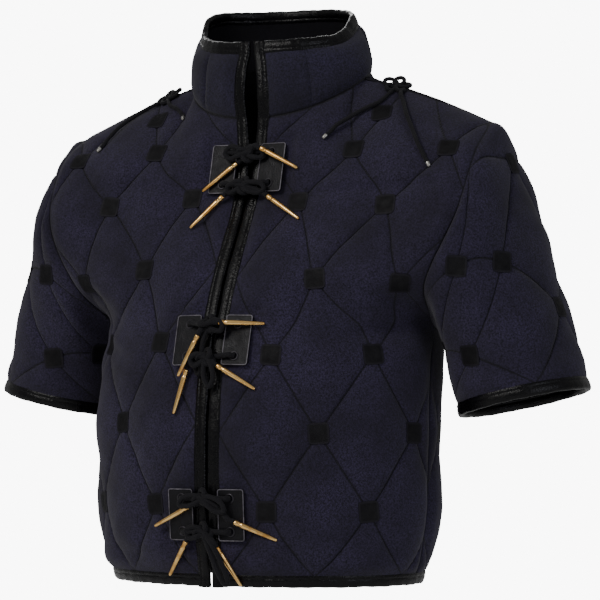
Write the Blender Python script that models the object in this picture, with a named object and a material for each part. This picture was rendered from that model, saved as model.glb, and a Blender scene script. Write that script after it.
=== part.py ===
"""A quilted arming jacket (gambeson) with a stand collar, short sleeves and laced fronts.

It keeps the form of a worn garment. +Z is up, the fronts face -Y, and the wearer's
left is +X. The origin is the middle of the neck, level with the collar's seam at the sides.
"""

import math
from collections import namedtuple

import bmesh
import bpy
from mathutils import Vector
from mathutils.bvhtree import BVHTree

# Driving dimensions in metres.
SEAM = 0.0003            # gap between sewn pieces
WALL = 0.0035            # cloth at a seam or a quilting line
PUFF = 0.0075            # padding that rises between quilting lines
BINDING_WIDTH = 0.0132   # leather that shows past the cloth's edge
BINDING_HALF = 0.0036    # half of a bound edge's thickness
FRONT_GAP = 0.0012       # half of the gap between the closed fronts
NECK_GAP = 0.0080        # half of the gap that opens between the collar's ends
COLLAR_HALF_WIDTH = 0.110
SHOULDER = (0.268, 0.0, -0.058)
CUFF_CENTRE = Vector((0.299, 0.011, -0.361))
CUFF_RADIUS = 0.0735
CUFF_LEAN = math.radians(13.0)
SLEEVE_ROWS = 12

# The quilting lattice: a diamond reaches three cells to each side and three up and down.
DIAMOND = 3
PANEL_COLUMNS = 14       # front edge to side seam
NECK_COLUMNS = 5         # of these, the ones that end at the neckline
PANEL_ROWS = 20
UNDERARM_ROW = 10

# Lacing plates and laces.
PLATE_WIDTH = 0.032
PLATE_HEIGHT = 0.058
PLATE_THICKNESS = 0.002
PLATE_EDGE = 0.0152      # from the centre front to a plate
EYELET_RADIUS = 0.0042
EYELET_RISE = 0.0185     # an eyelet's height above or below its plate's middle
EYELET_OUT = 0.0300      # an eyelet's distance from the centre front
LACE_RADIUS = 0.0030
SHOULDER_LACE_RADIUS = 0.0024
LACE_SPACING = 0.0009    # from a lace to what it lies on
AIGLET_LENGTH = 0.052
AIGLET_TOP = 0.0026
AIGLET_TIP = 0.0014

Station = namedtuple("Station", "row height depth end_x end_y end_height sweep")
FRONT = [
    Station(0.0, -0.565, -0.168, 0.190, -0.036, -0.565, 90),
    Station(1.5, -0.536, -0.1735, 0.198, -0.037, -0.536, 90),
    Station(3.0, -0.493, -0.177, 0.203, -0.036, -0.493, 90),
    Station(6.0, -0.4065, -0.178, 0.205, -0.035, -0.4065, 90),
    Station(9.0, -0.320, -0.167, 0.205, -0.027, -0.318, 90),
    Station(10.0, -0.290, -0.160, 0.203, -0.012, -0.287, 88),
    Station(12.0, -0.2335, -0.137, 0.222, -0.085, -0.245, 75),
    Station(15.0, -0.147, -0.090, 0.262, -0.088, -0.165, 60),
    Station(18.0, -0.088, -0.074, 0.270, -0.050, -0.092, 50),
]
BACK = [
    Station(0.0, -0.565, 0.098, 0.190, -0.036, -0.565, 90),
    Station(1.5, -0.536, 0.103, 0.198, -0.037, -0.536, 90),
    Station(3.0, -0.493, 0.106, 0.203, -0.036, -0.493, 90),
    Station(6.0, -0.4065, 0.110, 0.205, -0.035, -0.4065, 90),
    Station(9.0, -0.320, 0.117, 0.205, -0.027, -0.318, 90),
    Station(10.0, -0.288, 0.120, 0.203, -0.012, -0.287, 88),
    Station(12.0, -0.229, 0.124, 0.222, 0.064, -0.245, 75),
    Station(15.0, -0.136, 0.124, 0.262, 0.080, -0.165, 60),
    Station(18.0, -0.046, 0.106, 0.270, 0.048, -0.092, 50),
]
NECK_FRONT = (-0.072, -0.049)    # depth and height of the neckline at the centre front
NECK_BACK = (0.078, 0.028)

Ring = namedtuple("Ring", "up half_width front back front_height left_height right_height "
                          "back_height")
COLLAR_RINGS = [
    Ring(1 / 4, 0.1085, -0.0745, 0.0785, -0.030, 0.013, 0.016, 0.041),
    Ring(2 / 4, 0.1060, -0.0755, 0.0785, -0.011, 0.025, 0.032, 0.054),
    Ring(3 / 4, 0.1020, -0.0750, 0.0780, 0.008, 0.037, 0.049, 0.066),
    Ring(4 / 4, 0.0960, -0.0735, 0.0765, 0.026, 0.048, 0.066, 0.078),
]
COLLAR_LEAN = 0.005      # how far the collar's top leans to the wearer's right

TIE_HEIGHTS = (-0.108, -0.304, -0.497)

# From each knot, in millimetres across and up: where the tail bends, where its aiglet
# starts, and the way the aiglet points.
Tail = namedtuple("Tail", "side bend_across bend_up start_across start_up aim_across aim_up")
TAILS = {
    (0, "upper"): [Tail(-1, -7, -5, -12, -11, -45, -35), Tail(1, 12, 7, 21, 5, 38, -20)],
    (0, "lower"): [Tail(-1, -12, -8, -24, -12, -39, -41), Tail(1, 17, -5, 33, -13, 32, -20)],
    (1, "upper"): [Tail(-1, -5, -6, -9, -12, -27, -50), Tail(1, 7, 3, 14, 2, 60, -2)],
    (1, "lower"): [Tail(-1, -13, -7, -26, -13, -16, -53), Tail(1, 7, -5, 14, -9, 44, -26)],
    (2, "upper"): [Tail(-1, -9, -6, -19, -10, -50, -24), Tail(1, 18, -9, 38, -26, 32, -14)],
    (2, "lower"): [Tail(-1, -13, -6, -23, -11, -30, -40), Tail(1, 10, -8, 17, -17, 21, -43)],
}

# Shoulder laces, in metres on the wearer's left: two ways over the chest from the knot.
ShoulderTail = namedtuple("ShoulderTail", "side name points")
SHOULDER_TAILS = [
    ShoulderTail(1, "inner", [(0.150, -0.016), (0.141, -0.032), (0.122, -0.044), (0.106, -0.058),
                              (0.095, -0.071)]),
    ShoulderTail(1, "outer", [(0.157, -0.018), (0.171, -0.036), (0.188, -0.058), (0.206, -0.082),
                              (0.221, -0.106)]),
    ShoulderTail(-1, "inner", [(-0.148, -0.016), (-0.137, -0.024), (-0.122, -0.030),
                               (-0.108, -0.041)]),
    ShoulderTail(-1, "outer", [(-0.158, -0.018), (-0.176, -0.028), (-0.196, -0.045),
                               (-0.212, -0.074)]),
]
TIP_LENGTH = 0.006

Z = Vector((0.0, 0.0, 1.0))


def hex_colour(code):
    """Linear RGBA from an sRGB hex value."""
    parts = [int(code[n:n + 2], 16) / 255 for n in (0, 2, 4)]
    return [p / 12.92 if p <= 0.04045 else ((p + 0.055) / 1.055) ** 2.4 for p in parts] + [1.0]


def material(name, code, roughness, metallic=0.0):
    """One Principled material."""
    made = bpy.data.materials.new(name)
    made.use_nodes = True
    shader = made.node_tree.nodes["Principled BSDF"]
    shader.inputs["Base Color"].default_value = hex_colour(code)
    shader.inputs["Roughness"].default_value = roughness
    shader.inputs["Metallic"].default_value = metallic
    return made


def add_object(name, data, made, collection):
    """Link one object with its material."""
    data.materials.append(made)
    placed = bpy.data.objects.new(name, data)
    collection.objects.link(placed)
    return placed


# Curves through stations

def through(stations, values, at):
    """A smooth curve through values at rising stations, read at one place."""
    last = len(stations) - 1
    n = 0
    while n < last - 1 and at > stations[n + 1]:
        n += 1

    def slope(k):
        low, high = max(k - 1, 0), min(k + 1, last)
        return (values[high] - values[low]) / (stations[high] - stations[low])

    span = stations[n + 1] - stations[n]
    t = (at - stations[n]) / span
    return ((2 * t**3 - 3 * t**2 + 1) * values[n] + (t**3 - 2 * t**2 + t) * span * slope(n)
            + (3 * t**2 - 2 * t**3) * values[n + 1] + (t**3 - t**2) * span * slope(n + 1))


def along(line, lengths):
    """Points on a polyline at the given distances from its start."""
    found, walked, n = [], 0.0, 0
    for want in lengths:
        while n < len(line) - 2 and walked + (line[n + 1] - line[n]).length < want:
            walked += (line[n + 1] - line[n]).length
            n += 1
        step = line[n + 1] - line[n]
        found.append(line[n] + step * ((want - walked) / step.length))
    return found


def total(line):
    """The length of a polyline."""
    return sum((b - a).length for a, b in zip(line, line[1:]))


# Front and back panels, as grids of outer points at quilting-line level

def section(station, edge):
    """One row's points from the panel's edge at the centre out to its side."""
    sweep = math.radians(station.sweep)
    line = []
    for n in range(61):
        t = n / 60
        rise = (1 - math.cos(sweep * t)) / (1 - math.cos(sweep))
        line.append(Vector((
            station.end_x * math.sin(sweep * t) / math.sin(sweep),
            station.depth + (station.end_y - station.depth) * rise,
            station.height + (station.end_height - station.height) * t * t)))
    length = total(line)
    wide = length * 0.885
    spots = [edge + (wide - edge) * i / 12 for i in range(13)]
    spots += [(wide + length) / 2, length * 0.99999]
    return along(line, spots)


def top_edge(neck, edge):
    """The neckline and then the shoulder seam, from the centre to the armhole."""
    depth, height = neck
    line = []
    for n in range(41):
        turn = math.pi / 2 * n / 40
        line.append(Vector((COLLAR_HALF_WIDTH * math.sin(turn), depth * math.cos(turn),
                            height * math.cos(turn) ** 1.2 if n < 40 else 0.0)))
    length = total(line)
    spots = [edge + (length - edge) * i / NECK_COLUMNS for i in range(NECK_COLUMNS)]
    row = along(line, spots) + [line[-1]]
    seam = PANEL_COLUMNS - NECK_COLUMNS
    for n in range(1, seam + 1):
        t = n / seam
        x = COLLAR_HALF_WIDTH + (SHOULDER[0] - COLLAR_HALF_WIDTH) * t
        row.append(Vector((x, SHOULDER[1] * t, SHOULDER[2] * (0.72 * t + 0.28 * t * t))))
    return row


def half_panel(stations, neck, edges, lift):
    """A grid from hem to top and from the centre to the side, on the wearer's left."""
    rows = [section(s, e) for s, e in zip(stations, edges)] + [top_edge(neck, edges[-1])]
    at = [s.row for s in stations] + [float(PANEL_ROWS)]
    under = at.index(float(UNDERARM_ROW))
    grid = []
    for j in range(PANEL_ROWS + 1):
        line = []
        for i in range(PANEL_COLUMNS + 1):
            points = [row[i] for row in rows]
            knots, place = at, float(j)
            if i == PANEL_COLUMNS:
                part = slice(0, under + 1) if j <= UNDERARM_ROW else slice(under, None)
                points, knots = points[part], at[part]
            else:
                place += lift * math.sin(math.pi * j / PANEL_ROWS) * (1 - (i / PANEL_COLUMNS) ** 4)
            line.append(Vector([through(knots, [p[axis] for p in points], place)
                                for axis in range(3)]))
        grid.append(line)
    return grid


def edge_offsets():
    """Distance from the centre to the cloth's front edge, at each station and the neckline."""
    closed = BINDING_WIDTH + FRONT_GAP
    return [closed] * (len(FRONT) - 1) + [closed + 0.0022, BINDING_WIDTH + NECK_GAP * 0.85]


# Quilting

def pillow(i, j):
    """0 on a quilting line and 1 in the middle of a diamond."""
    period = 2 * DIAMOND
    first, second = (i - j) % period, (i + j) % period
    first, second = min(first, period - first), min(second, period - second)
    return math.sqrt(math.sin(math.pi / 2 * first / DIAMOND)
                     * math.sin(math.pi / 2 * second / DIAMOND))


def slash(i, j):
    """Whether a cell's diagonal runs up and out, beside the nearer quilting line."""
    period = 2 * DIAMOND
    first, second = (i - j) % period, (i + j + 1) % period
    return min(first, period - first) <= min(second, period - second)


def fade(distance, reach=1):
    """Padding is pressed flat at an edge and full one cell in."""
    return min(1.0, distance / reach)


# Walls

def normals(grid, flip, wrap=False):
    """A unit normal at each grid point."""
    rows, columns = len(grid), len(grid[0])
    made = []
    for j in range(rows):
        line = []
        for i in range(columns):
            if wrap:
                across = grid[j][(i + 1) % columns] - grid[j][i - 1]
            else:
                across = grid[j][min(i + 1, columns - 1)] - grid[j][max(i - 1, 0)]
            up = grid[min(j + 1, rows - 1)][i] - grid[max(j - 1, 0)][i]
            line.append(across.cross(up).normalized() * flip)
        made.append(line)
    return made


def wall(name, outer, inner, pattern, made, collection, wrap=False):
    """A closed wall between two grids, its outer diagonals laid along the quilting."""
    rows, columns = len(outer), len(outer[0])
    mesh = bmesh.new()
    out = [[mesh.verts.new(p) for p in row] for row in outer]
    back = [[mesh.verts.new(p) for p in row] for row in inner]
    for j in range(rows - 1):
        for i in range(columns if wrap else columns - 1):
            k = (i + 1) % columns
            for grid, turned in ((out, False), (back, True)):
                a, b, c, d = grid[j][i], grid[j][k], grid[j + 1][k], grid[j + 1][i]
                pair = [(a, b, c), (a, c, d)] if pattern(i, j) else [(a, b, d), (b, c, d)]
                for face in pair:
                    mesh.faces.new(face[::-1] if turned else face)
    edges = [e for e in mesh.edges if e.is_boundary]
    front = {v for row in out for v in row}
    facing = dict((v, back[j][i]) for j, row in enumerate(out) for i, v in enumerate(row))
    for edge in edges:
        if edge.verts[0] in front and edge.verts[1] in front:
            a, b = edge.verts
            mesh.faces.new((a, b, facing[b], facing[a]))
    bmesh.ops.recalc_face_normals(mesh, faces=mesh.faces)
    return finish(name, mesh, made, collection)


def finish(name, mesh, made, collection):
    """Turn a bmesh into a smooth-shaded object."""
    data = bpy.data.meshes.new(name)
    mesh.to_mesh(data)
    mesh.free()
    data.shade_smooth()
    data.set_sharp_from_angle(angle=math.radians(50))
    return add_object(name, data, made, collection)


def mirrored(grid):
    """The grid of the wearer's right side, with its columns still counted from the centre."""
    return [[Vector((-p.x, p.y, p.z)) for p in row] for row in grid]


def armhole_normal(point):
    """Where a seam's thickness points on the armhole: out from its middle."""
    middle = Vector((point.x, -0.002, -0.172))
    return (point - middle).normalized()


def panel_frames(grid, flip):
    """Normals of a panel, with the armhole's own at its edge."""
    frames = normals(grid, flip)
    for j in range(UNDERARM_ROW, PANEL_ROWS + 1):
        frames[j][-1] = armhole_normal(grid[j][-1])
    return frames


def share(first, second):
    """Give two seam points one normal between them."""
    mean = (first + second).normalized()
    return mean.copy(), mean.copy()


def thickness(grid, frames, pad, pull):
    """Outer and inner grids: padding outside, a plain wall inside, and seams drawn back."""
    outer, inner = [], []
    for j, row in enumerate(grid):
        outer.append([p + pull(i, j) + frames[j][i] * PUFF * pad(i, j)
                      for i, p in enumerate(row)])
        inner.append([p + pull(i, j) - frames[j][i] * WALL for i, p in enumerate(row)])
    return outer, inner


def underarm_press(columns_away, rows_away):
    """Padding is pressed flat where body and sleeve fold together under the arm."""
    return min(1.0, math.hypot(columns_away, rows_away) / 4) ** 2


def plate_press(x, height):
    """Padding is pressed under the lacing plates beside the front edge."""
    near = min(abs(height - tie) for tie in TIE_HEIGHTS)
    return 0.35 if near < PLATE_HEIGHT * 0.66 and abs(x) < PLATE_EDGE + PLATE_WIDTH + 0.012 else 1.0


def front_pad(grid):
    """Padding of a front panel at each grid point."""
    def pad(i, j):
        side = underarm_press(PANEL_COLUMNS - i, j - UNDERARM_ROW)
        edge = fade(i) * fade(PANEL_COLUMNS - i) * fade(j) * fade(PANEL_ROWS - j)
        return pillow(i, j) * edge * side * plate_press(grid[j][i].x, grid[j][i].z)
    return pad


def back_pad(i, j):
    """Padding of the back, counted from its right side seam."""
    across = i - PANEL_COLUMNS
    side = underarm_press(PANEL_COLUMNS - abs(across), j - UNDERARM_ROW)
    edge = fade(PANEL_COLUMNS - abs(across)) * fade(j) * fade(PANEL_ROWS - j)
    return pillow(across, j) * edge * side


def panel_pull(way):
    """One side's share of the gap at the side seam, armhole, shoulder seam and neckline."""
    half = SEAM * 0.75

    def pull(i, j, side, columns_in):
        moved = Vector()
        if columns_in == 0:
            if j >= UNDERARM_ROW:
                moved.x -= half * side
            if j <= UNDERARM_ROW:
                moved.y += half * way
        if j == PANEL_ROWS:
            if i <= NECK_COLUMNS:
                moved.z -= half
            if i >= NECK_COLUMNS:
                moved.y += half * way
        return moved
    return pull


def make_panels(cloth, collection):
    """Both fronts and the back, sharing their seams' points and normals."""
    edges = edge_offsets()
    fronts = {1: half_panel(FRONT, NECK_FRONT, edges, 0.0),
              -1: mirrored(half_panel(FRONT, NECK_FRONT, edges, 0.5))}
    half_back = half_panel(BACK, NECK_BACK, [0.0] * (len(BACK) + 1), 0.0)
    back = [[Vector((-p.x, p.y, p.z)) for p in row[:0:-1]] + row for row in half_back]
    frames = {side: panel_frames(grid, side) for side, grid in fronts.items()}
    back_frames = normals(back, -1)
    for j in range(UNDERARM_ROW, PANEL_ROWS + 1):
        for i in (0, -1):
            back_frames[j][i] = armhole_normal(back[j][i])
    for side in (1, -1):
        seam = -1 if side > 0 else 0
        for j in range(UNDERARM_ROW):
            pair = share(frames[side][j][-1], back_frames[j][seam])
            frames[side][j][-1], back_frames[j][seam] = pair
        for i in range(NECK_COLUMNS, PANEL_COLUMNS):
            k = PANEL_COLUMNS + side * i
            frames[side][-1][i], back_frames[-1][k] = share(frames[side][-1][i], back_frames[-1][k])

    walls = {}
    front_pull, back_pull = panel_pull(-1), panel_pull(1)
    for side, label in ((1, "left"), (-1, "right")):
        grid = fronts[side]
        outer, inner = thickness(
            grid, frames[side], front_pad(grid),
            lambda i, j, s=side: front_pull(i, j, s, PANEL_COLUMNS - i))
        wall(f"front_{label}", outer, inner, slash, cloth, collection)
        walls[side] = (grid, frames[side])
    outer, inner = thickness(
        back, back_frames, back_pad,
        lambda i, j: back_pull(abs(i - PANEL_COLUMNS), j, 1 if i > PANEL_COLUMNS else -1,
                               PANEL_COLUMNS - abs(i - PANEL_COLUMNS)))
    wall("back", outer, inner, lambda i, j: slash(i - PANEL_COLUMNS, j), cloth, collection)
    walls["back"] = (back, back_frames)
    return walls


# Sleeves

def armhole_loop(walls, side):
    """The armhole's points, from the shoulder down the front and up the back."""
    front = walls[side][0]
    back = walls["back"][0]
    seam = -1 if side > 0 else 0
    down = [front[j][-1] for j in range(PANEL_ROWS, UNDERARM_ROW - 1, -1)]
    up = [back[j][seam] for j in range(UNDERARM_ROW + 1, PANEL_ROWS)]
    return [p.copy() for p in down + up]


def cuff_point(turn, side, radius=CUFF_RADIUS, drop=0.0):
    """A point of the cuff's ring, counted from its outer side round by the front."""
    across = Vector((math.cos(CUFF_LEAN), 0.0, math.sin(CUFF_LEAN)))
    down = Vector((math.sin(CUFF_LEAN), 0.0, -math.cos(CUFF_LEAN)))
    point = (CUFF_CENTRE + across * radius * math.cos(turn)
             - Vector((0.0, radius * 1.02 * math.sin(turn), 0.0)) + down * drop)
    return Vector((point.x * side, point.y, point.z))


def sleeve_grid(loop, side):
    """Rings from the armhole to the cuff."""
    count = len(loop)
    grid = []
    for k in range(SLEEVE_ROWS + 1):
        t = k / SLEEVE_ROWS
        ring = []
        for c, start in enumerate(loop):
            turn = 2 * math.pi * c / count
            top = (1 + math.cos(turn)) / 2
            end = cuff_point(turn, side)
            reach = (end - start).length
            leave = Vector((side * (0.80 - 0.15 * top), -0.18 * math.sin(turn), -0.62 - 0.30 * top))
            leave = leave.normalized() * reach * (0.75 - 0.30 * top)
            arrive = Vector((side * (0.20 + 0.20 * top), 0.0, -0.98)) * reach * 0.9
            ring.append((2 * t**3 - 3 * t**2 + 1) * start + (t**3 - 2 * t**2 + t) * leave
                        + (3 * t**2 - 2 * t**3) * end + (t**3 - t**2) * arrive)
        grid.append(ring)
    return grid


def sleeve_pad(count):
    """Padding of a sleeve: less beneath the arm, where it lies near the body."""
    def pad(i, k):
        turn = 2 * math.pi * i / count
        under = 0.35 + 0.65 * ((1 + math.cos(turn)) / 2) ** 0.5
        column = i if i <= count / 2 else i - count
        if abs(column) == count / 2:
            return 0.0
        fold = underarm_press(count / 2 - abs(column), k)
        return pillow(column, k + DIAMOND) * fade(k) * fade(SLEEVE_ROWS - k) * under * fold
    return pad


def clear_of_body(normal, side):
    """Turn a normal at the armhole so that the wall behind it doesn't reach into the body."""
    if normal.x * side > 0.0:
        normal.x = 0.0
    return normal.normalized()


def make_sleeve(walls, side, label, cloth, collection):
    """One sleeve, a tube that is open at armhole and cuff."""
    loop = armhole_loop(walls, side)
    count = len(loop)
    grid = sleeve_grid(loop, side)
    frames = normals(grid, -side, wrap=True)
    frames[0] = [clear_of_body(n, side) for n in frames[0]]

    def pull(_, k):
        return Vector((side * SEAM / 2, 0.0, 0.0)) if k == 0 else Vector()

    outer, inner = thickness(grid, frames, sleeve_pad(count), pull)
    wall(f"sleeve_{label}", outer, inner,
         lambda i, k: slash(i if i < count / 2 else i - count, k + DIAMOND),
         cloth, collection, wrap=True)
    return grid[-1], frames[-1]


# Collar

def collar_grid(walls):
    """Rings from the neckline up, from the wearer's right front round the back to the left."""
    right = [walls[-1][0][-1][i] for i in range(NECK_COLUMNS + 1)]
    left = [walls[1][0][-1][i] for i in range(NECK_COLUMNS, -1, -1)]
    middle = PANEL_COLUMNS
    behind = [walls["back"][0][-1][i]
              for i in range(middle - NECK_COLUMNS + 1, middle + NECK_COLUMNS)]
    base = [p.copy() for p in right + behind + left]
    grid = [base]
    for ring in COLLAR_RINGS:
        row = []
        gap = BINDING_WIDTH + NECK_GAP * (1.0 - 0.75 * ring.up ** 3)
        for n, start in enumerate(base):
            front = start.y < 0
            depth = ring.front if front else ring.back
            reach = NECK_FRONT[0] if front else NECK_BACK[0]
            share_y = min(1.0, start.y / reach)
            lean = COLLAR_LEAN * ring.up * (1.0 - share_y if front else 1.0)
            x = start.x * ring.half_width / COLLAR_HALF_WIDTH - lean
            if n in (0, len(base) - 1):
                x = math.copysign(gap, start.x)
            side_height = ring.right_height if start.x < 0 else ring.left_height
            tall = ring.front_height if front else ring.back_height
            bend = 0.62 if front else 0.30 if start.x < 0 else 0.65
            bend = 1.2 + (bend - 1.2) * ring.up
            z = side_height + (tall - side_height) * share_y ** bend
            row.append(Vector((x, depth * share_y, z)))
        grid.append(row)
    return grid


def collar_pad(columns, rows):
    """Upright channels between the collar's stitch lines."""
    def pad(i, k):
        edge = fade(i) * fade(columns - i) * fade(k) * fade(rows - k)
        channel = 0.12 if i in (2, 6, 10, 14, 18) else 0.62
        return channel * edge
    return pad


def make_collar(walls, cloth, collection):
    """The collar, a band that is open at the front."""
    grid = collar_grid(walls)
    columns, rows = len(grid[0]) - 1, len(grid) - 1
    frames = normals(grid, -1)

    def pull(_, k):
        return Vector((0.0, 0.0, SEAM / 2)) if k == 0 else Vector()

    outer, inner = thickness(grid, frames, collar_pad(columns, rows), pull)
    wall("collar", outer, inner, lambda i, k: (i + k) % 2 == 0, cloth, collection)
    return grid, frames


# Bindings

def binding(name, middles, frames, outward, leather, collection, wrap=False, gap=SEAM):
    """A leather-bound edge: a rounded bar swept along an edge's points."""
    half, width = BINDING_HALF, BINDING_WIDTH
    profile = [(gap, -WALL / 2), (half / 2, -half), (width - half, -half), (width, -half * 0.35),
               (width, half * 0.35), (width - half, half), (half / 2, half), (gap, WALL / 2)]
    mesh = bmesh.new()
    rings = []
    last = len(middles) - 1
    for n, (point, normal, hint) in enumerate(zip(middles, frames, outward)):
        after = middles[(n + 1) % len(middles) if wrap else min(n + 1, last)]
        before = middles[n - 1 if wrap else max(n - 1, 0)]
        way = normal.cross(after - before).normalized()
        way *= math.copysign(1.0, way.dot(hint))
        if not wrap and n in (0, last):
            way = (hint - normal * hint.dot(normal)).normalized()
        rings.append([mesh.verts.new(point + way * d + normal * h) for d, h in profile])
    count = len(profile)
    spans = len(rings) if wrap else len(rings) - 1
    for n in range(spans):
        a, b = rings[n], rings[(n + 1) % len(rings)]
        for k in range(count):
            m = (k + 1) % count
            mesh.faces.new((a[k], a[m], b[m], b[k]))
    if not wrap:
        mesh.faces.new(rings[0])
        mesh.faces.new(rings[-1])
    bmesh.ops.recalc_face_normals(mesh, faces=mesh.faces)
    return finish(name, mesh, leather, collection)


def seam_middle(point, normal):
    """The middle of a wall at its edge."""
    return point - normal * (WALL / 2)


def eased(marks):
    """Normals that turn gently from one to the next."""
    for _ in range(3):
        inner = [(a + b * 2 + c).normalized() for a, b, c in zip(marks, marks[1:], marks[2:])]
        marks = [marks[0], *inner, marks[-1]]
    return marks


def make_bindings(walls, collar, cuffs, leather, collection):
    """Hem, front edges, collar top and cuffs."""
    collar_rows, collar_frames = collar
    back, back_frames = walls["back"]
    hem, hem_frames = [], []
    for side in (-1, 1):
        grid, frames = walls[side]
        points = [p.copy() for p in grid[0]]
        marks = [f.copy() for f in frames[0]]
        if side > 0:
            between = range(1, 2 * PANEL_COLUMNS)
            hem += [back[0][i] for i in between]
            hem_frames += [back_frames[0][i] for i in between]
            points, marks = points[::-1], marks[::-1]
        hem += points
        hem_frames += marks
    middles = [seam_middle(p, n) for p, n in zip(hem, hem_frames)]
    binding("hem_binding", middles, hem_frames, [-Z] * len(middles), leather, collection)

    top, top_frames = collar_rows[-1], collar_frames[-1]
    middles = [seam_middle(p, n) for p, n in zip(top, top_frames)]
    binding("collar_binding", middles, top_frames, [Z] * len(middles), leather, collection,
            gap=SEAM * 2)

    for side, label, end in ((1, "left", -1), (-1, "right", 0)):
        grid, frames = walls[side]
        points = [row[0] for row in grid] + [row[end] for row in collar_rows[1:]]
        marks = [row[0] for row in frames] + [row[end] for row in collar_frames[1:]]
        middles = [seam_middle(p, n) for p, n in zip(points, marks)]
        marks = eased(marks)
        middles.insert(0, middles[0] - Z * BINDING_WIDTH)
        marks.insert(0, marks[0])
        middles.append(middles[-1] + Z * BINDING_WIDTH)
        marks.append(marks[-1])
        binding(f"front_binding_{label}", middles, marks, [Vector((-side, 0, 0))] * len(middles),
                leather, collection)

    for side, label in ((1, "left"), (-1, "right")):
        ring, frames = cuffs[side]
        down = Vector((side * math.sin(CUFF_LEAN), 0.0, -math.cos(CUFF_LEAN)))
        middles = [seam_middle(p, n) for p, n in zip(ring, frames)]
        binding(f"cuff_binding_{label}", middles, frames, [down] * len(middles), leather,
                collection, wrap=True)


# Lacing plates and laces

def front_of(tree, x, height):
    """The first surface met from in front at a place on the chest."""
    hit = tree.ray_cast(Vector((x, -1.0, height)), Vector((0.0, 1.0, 0.0)))[0]
    return hit.y if hit else None


def plate_outline(data, half_width, half_height, corner):
    """A rounded rectangle as a closed flat spline."""
    spline = data.splines.new("POLY")
    points = []
    for sx, sy, start in ((1, 1, 0), (-1, 1, 90), (-1, -1, 180), (1, -1, 270)):
        for step in (0, 45, 90):
            turn = math.radians(start + step)
            points.append((sx * (half_width - corner) + corner * math.cos(turn),
                           sy * (half_height - corner) + corner * math.sin(turn)))
    spline.points.add(len(points) - 1)
    for spot, (x, y) in zip(spline.points, points):
        spot.co = (x, y, 0.0, 1.0)
    spline.use_cyclic_u = True


def plate_hole(data, x, y):
    """An eyelet hole as a closed flat spline."""
    spline = data.splines.new("POLY")
    spline.points.add(11)
    for n, spot in enumerate(spline.points):
        turn = 2 * math.pi * n / 12
        spot.co = (x + EYELET_RADIUS * math.cos(turn), y + EYELET_RADIUS * math.sin(turn), 0.0, 1.0)
    spline.use_cyclic_u = True


def make_plate(tree, tie, side, name, leather, collection):
    """One plate, laid flat on the quilting beside the front edge."""
    centre_x = side * (PLATE_EDGE + PLATE_WIDTH / 2)
    spots = []
    for across in range(-6, 7):
        for up in range(-10, 11):
            x = centre_x + across / 12 * PLATE_WIDTH
            z = tie + up / 20 * PLATE_HEIGHT
            y = front_of(tree, x, z)
            if y is not None:
                spots.append(Vector((x, y, z)))
    mean = sum(spots, Vector()) / len(spots)
    slope_x = (sum((p.x - mean.x) * (p.y - mean.y) for p in spots)
               / sum((p.x - mean.x) ** 2 for p in spots))
    slope_z = (sum((p.z - mean.z) * (p.y - mean.y) for p in spots)
               / sum((p.z - mean.z) ** 2 for p in spots))
    normal = Vector((slope_x, -1.0, slope_z)).normalized()
    lift = max((p - mean).dot(normal) for p in spots) + SEAM
    right = (Vector((1.0, 0.0, 0.0)) - normal * normal.x).normalized()
    up = right.cross(-normal).normalized()
    data = bpy.data.curves.new(name, "CURVE")
    data.dimensions = "2D"
    data.fill_mode = "BOTH"
    data.extrude = PLATE_THICKNESS / 2
    plate_outline(data, PLATE_WIDTH / 2, PLATE_HEIGHT / 2, 0.003)
    eyelet_x = side * EYELET_OUT - centre_x
    for rise in (EYELET_RISE, -EYELET_RISE):
        plate_hole(data, eyelet_x, rise)
    plate = add_object(name, data, leather, collection)
    origin = mean + normal * (lift + PLATE_THICKNESS / 2)
    for row, axis in enumerate((right, up, right.cross(up))):
        for k in range(3):
            plate.matrix_world[k][row] = axis[k]
    plate.matrix_world.translation = origin
    matrix = plate.matrix_world.copy()
    eyelets = [matrix @ Vector((eyelet_x, rise, 0.0)) for rise in (EYELET_RISE, -EYELET_RISE)]
    return eyelets, normal


def smooth_route(points, count):
    """Evenly counted points on a smooth curve through a route."""
    stations = [0.0]
    for a, b in zip(points, points[1:]):
        stations.append(stations[-1] + (b - a).length)
    made = []
    for n in range(count):
        at = stations[-1] * n / (count - 1)
        made.append(Vector([through(stations, [p[k] for p in points], at) for k in range(3)]))
    return made


class Ground:
    """What the laces lie on, seen from in front: cloth, bindings, plates and earlier laces."""

    def __init__(self, names):
        self.verts, self.faces = [], []
        for name in names:
            self.add(bpy.data.objects[name])

    def add(self, placed):
        """Take in one more object, a curve as its evaluated mesh."""
        evaluated = placed.evaluated_get(bpy.context.evaluated_depsgraph_get())
        data = evaluated.to_mesh()
        start = len(self.verts)
        self.verts += [evaluated.matrix_world @ v.co for v in data.vertices]
        self.faces += [[start + k for k in p.vertices] for p in data.polygons]
        evaluated.to_mesh_clear()
        self.tree = BVHTree.FromPolygons(self.verts, self.faces)

    def limit(self, x, height, radius):
        """How far back the middle of a round piece may lie at one place."""
        back = 1.0
        for turn in range(8):
            for reach in (0.0, 0.6 * radius, radius + LACE_SPACING):
                dx = reach * math.cos(turn * math.pi / 4)
                dz = reach * math.sin(turn * math.pi / 4)
                y = front_of(self.tree, x + dx, height + dz)
                if y is not None:
                    back = min(back, y - math.sqrt(max(0.0, radius**2 - reach**2)))
        return back - LACE_SPACING if back < 1.0 else None


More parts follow.
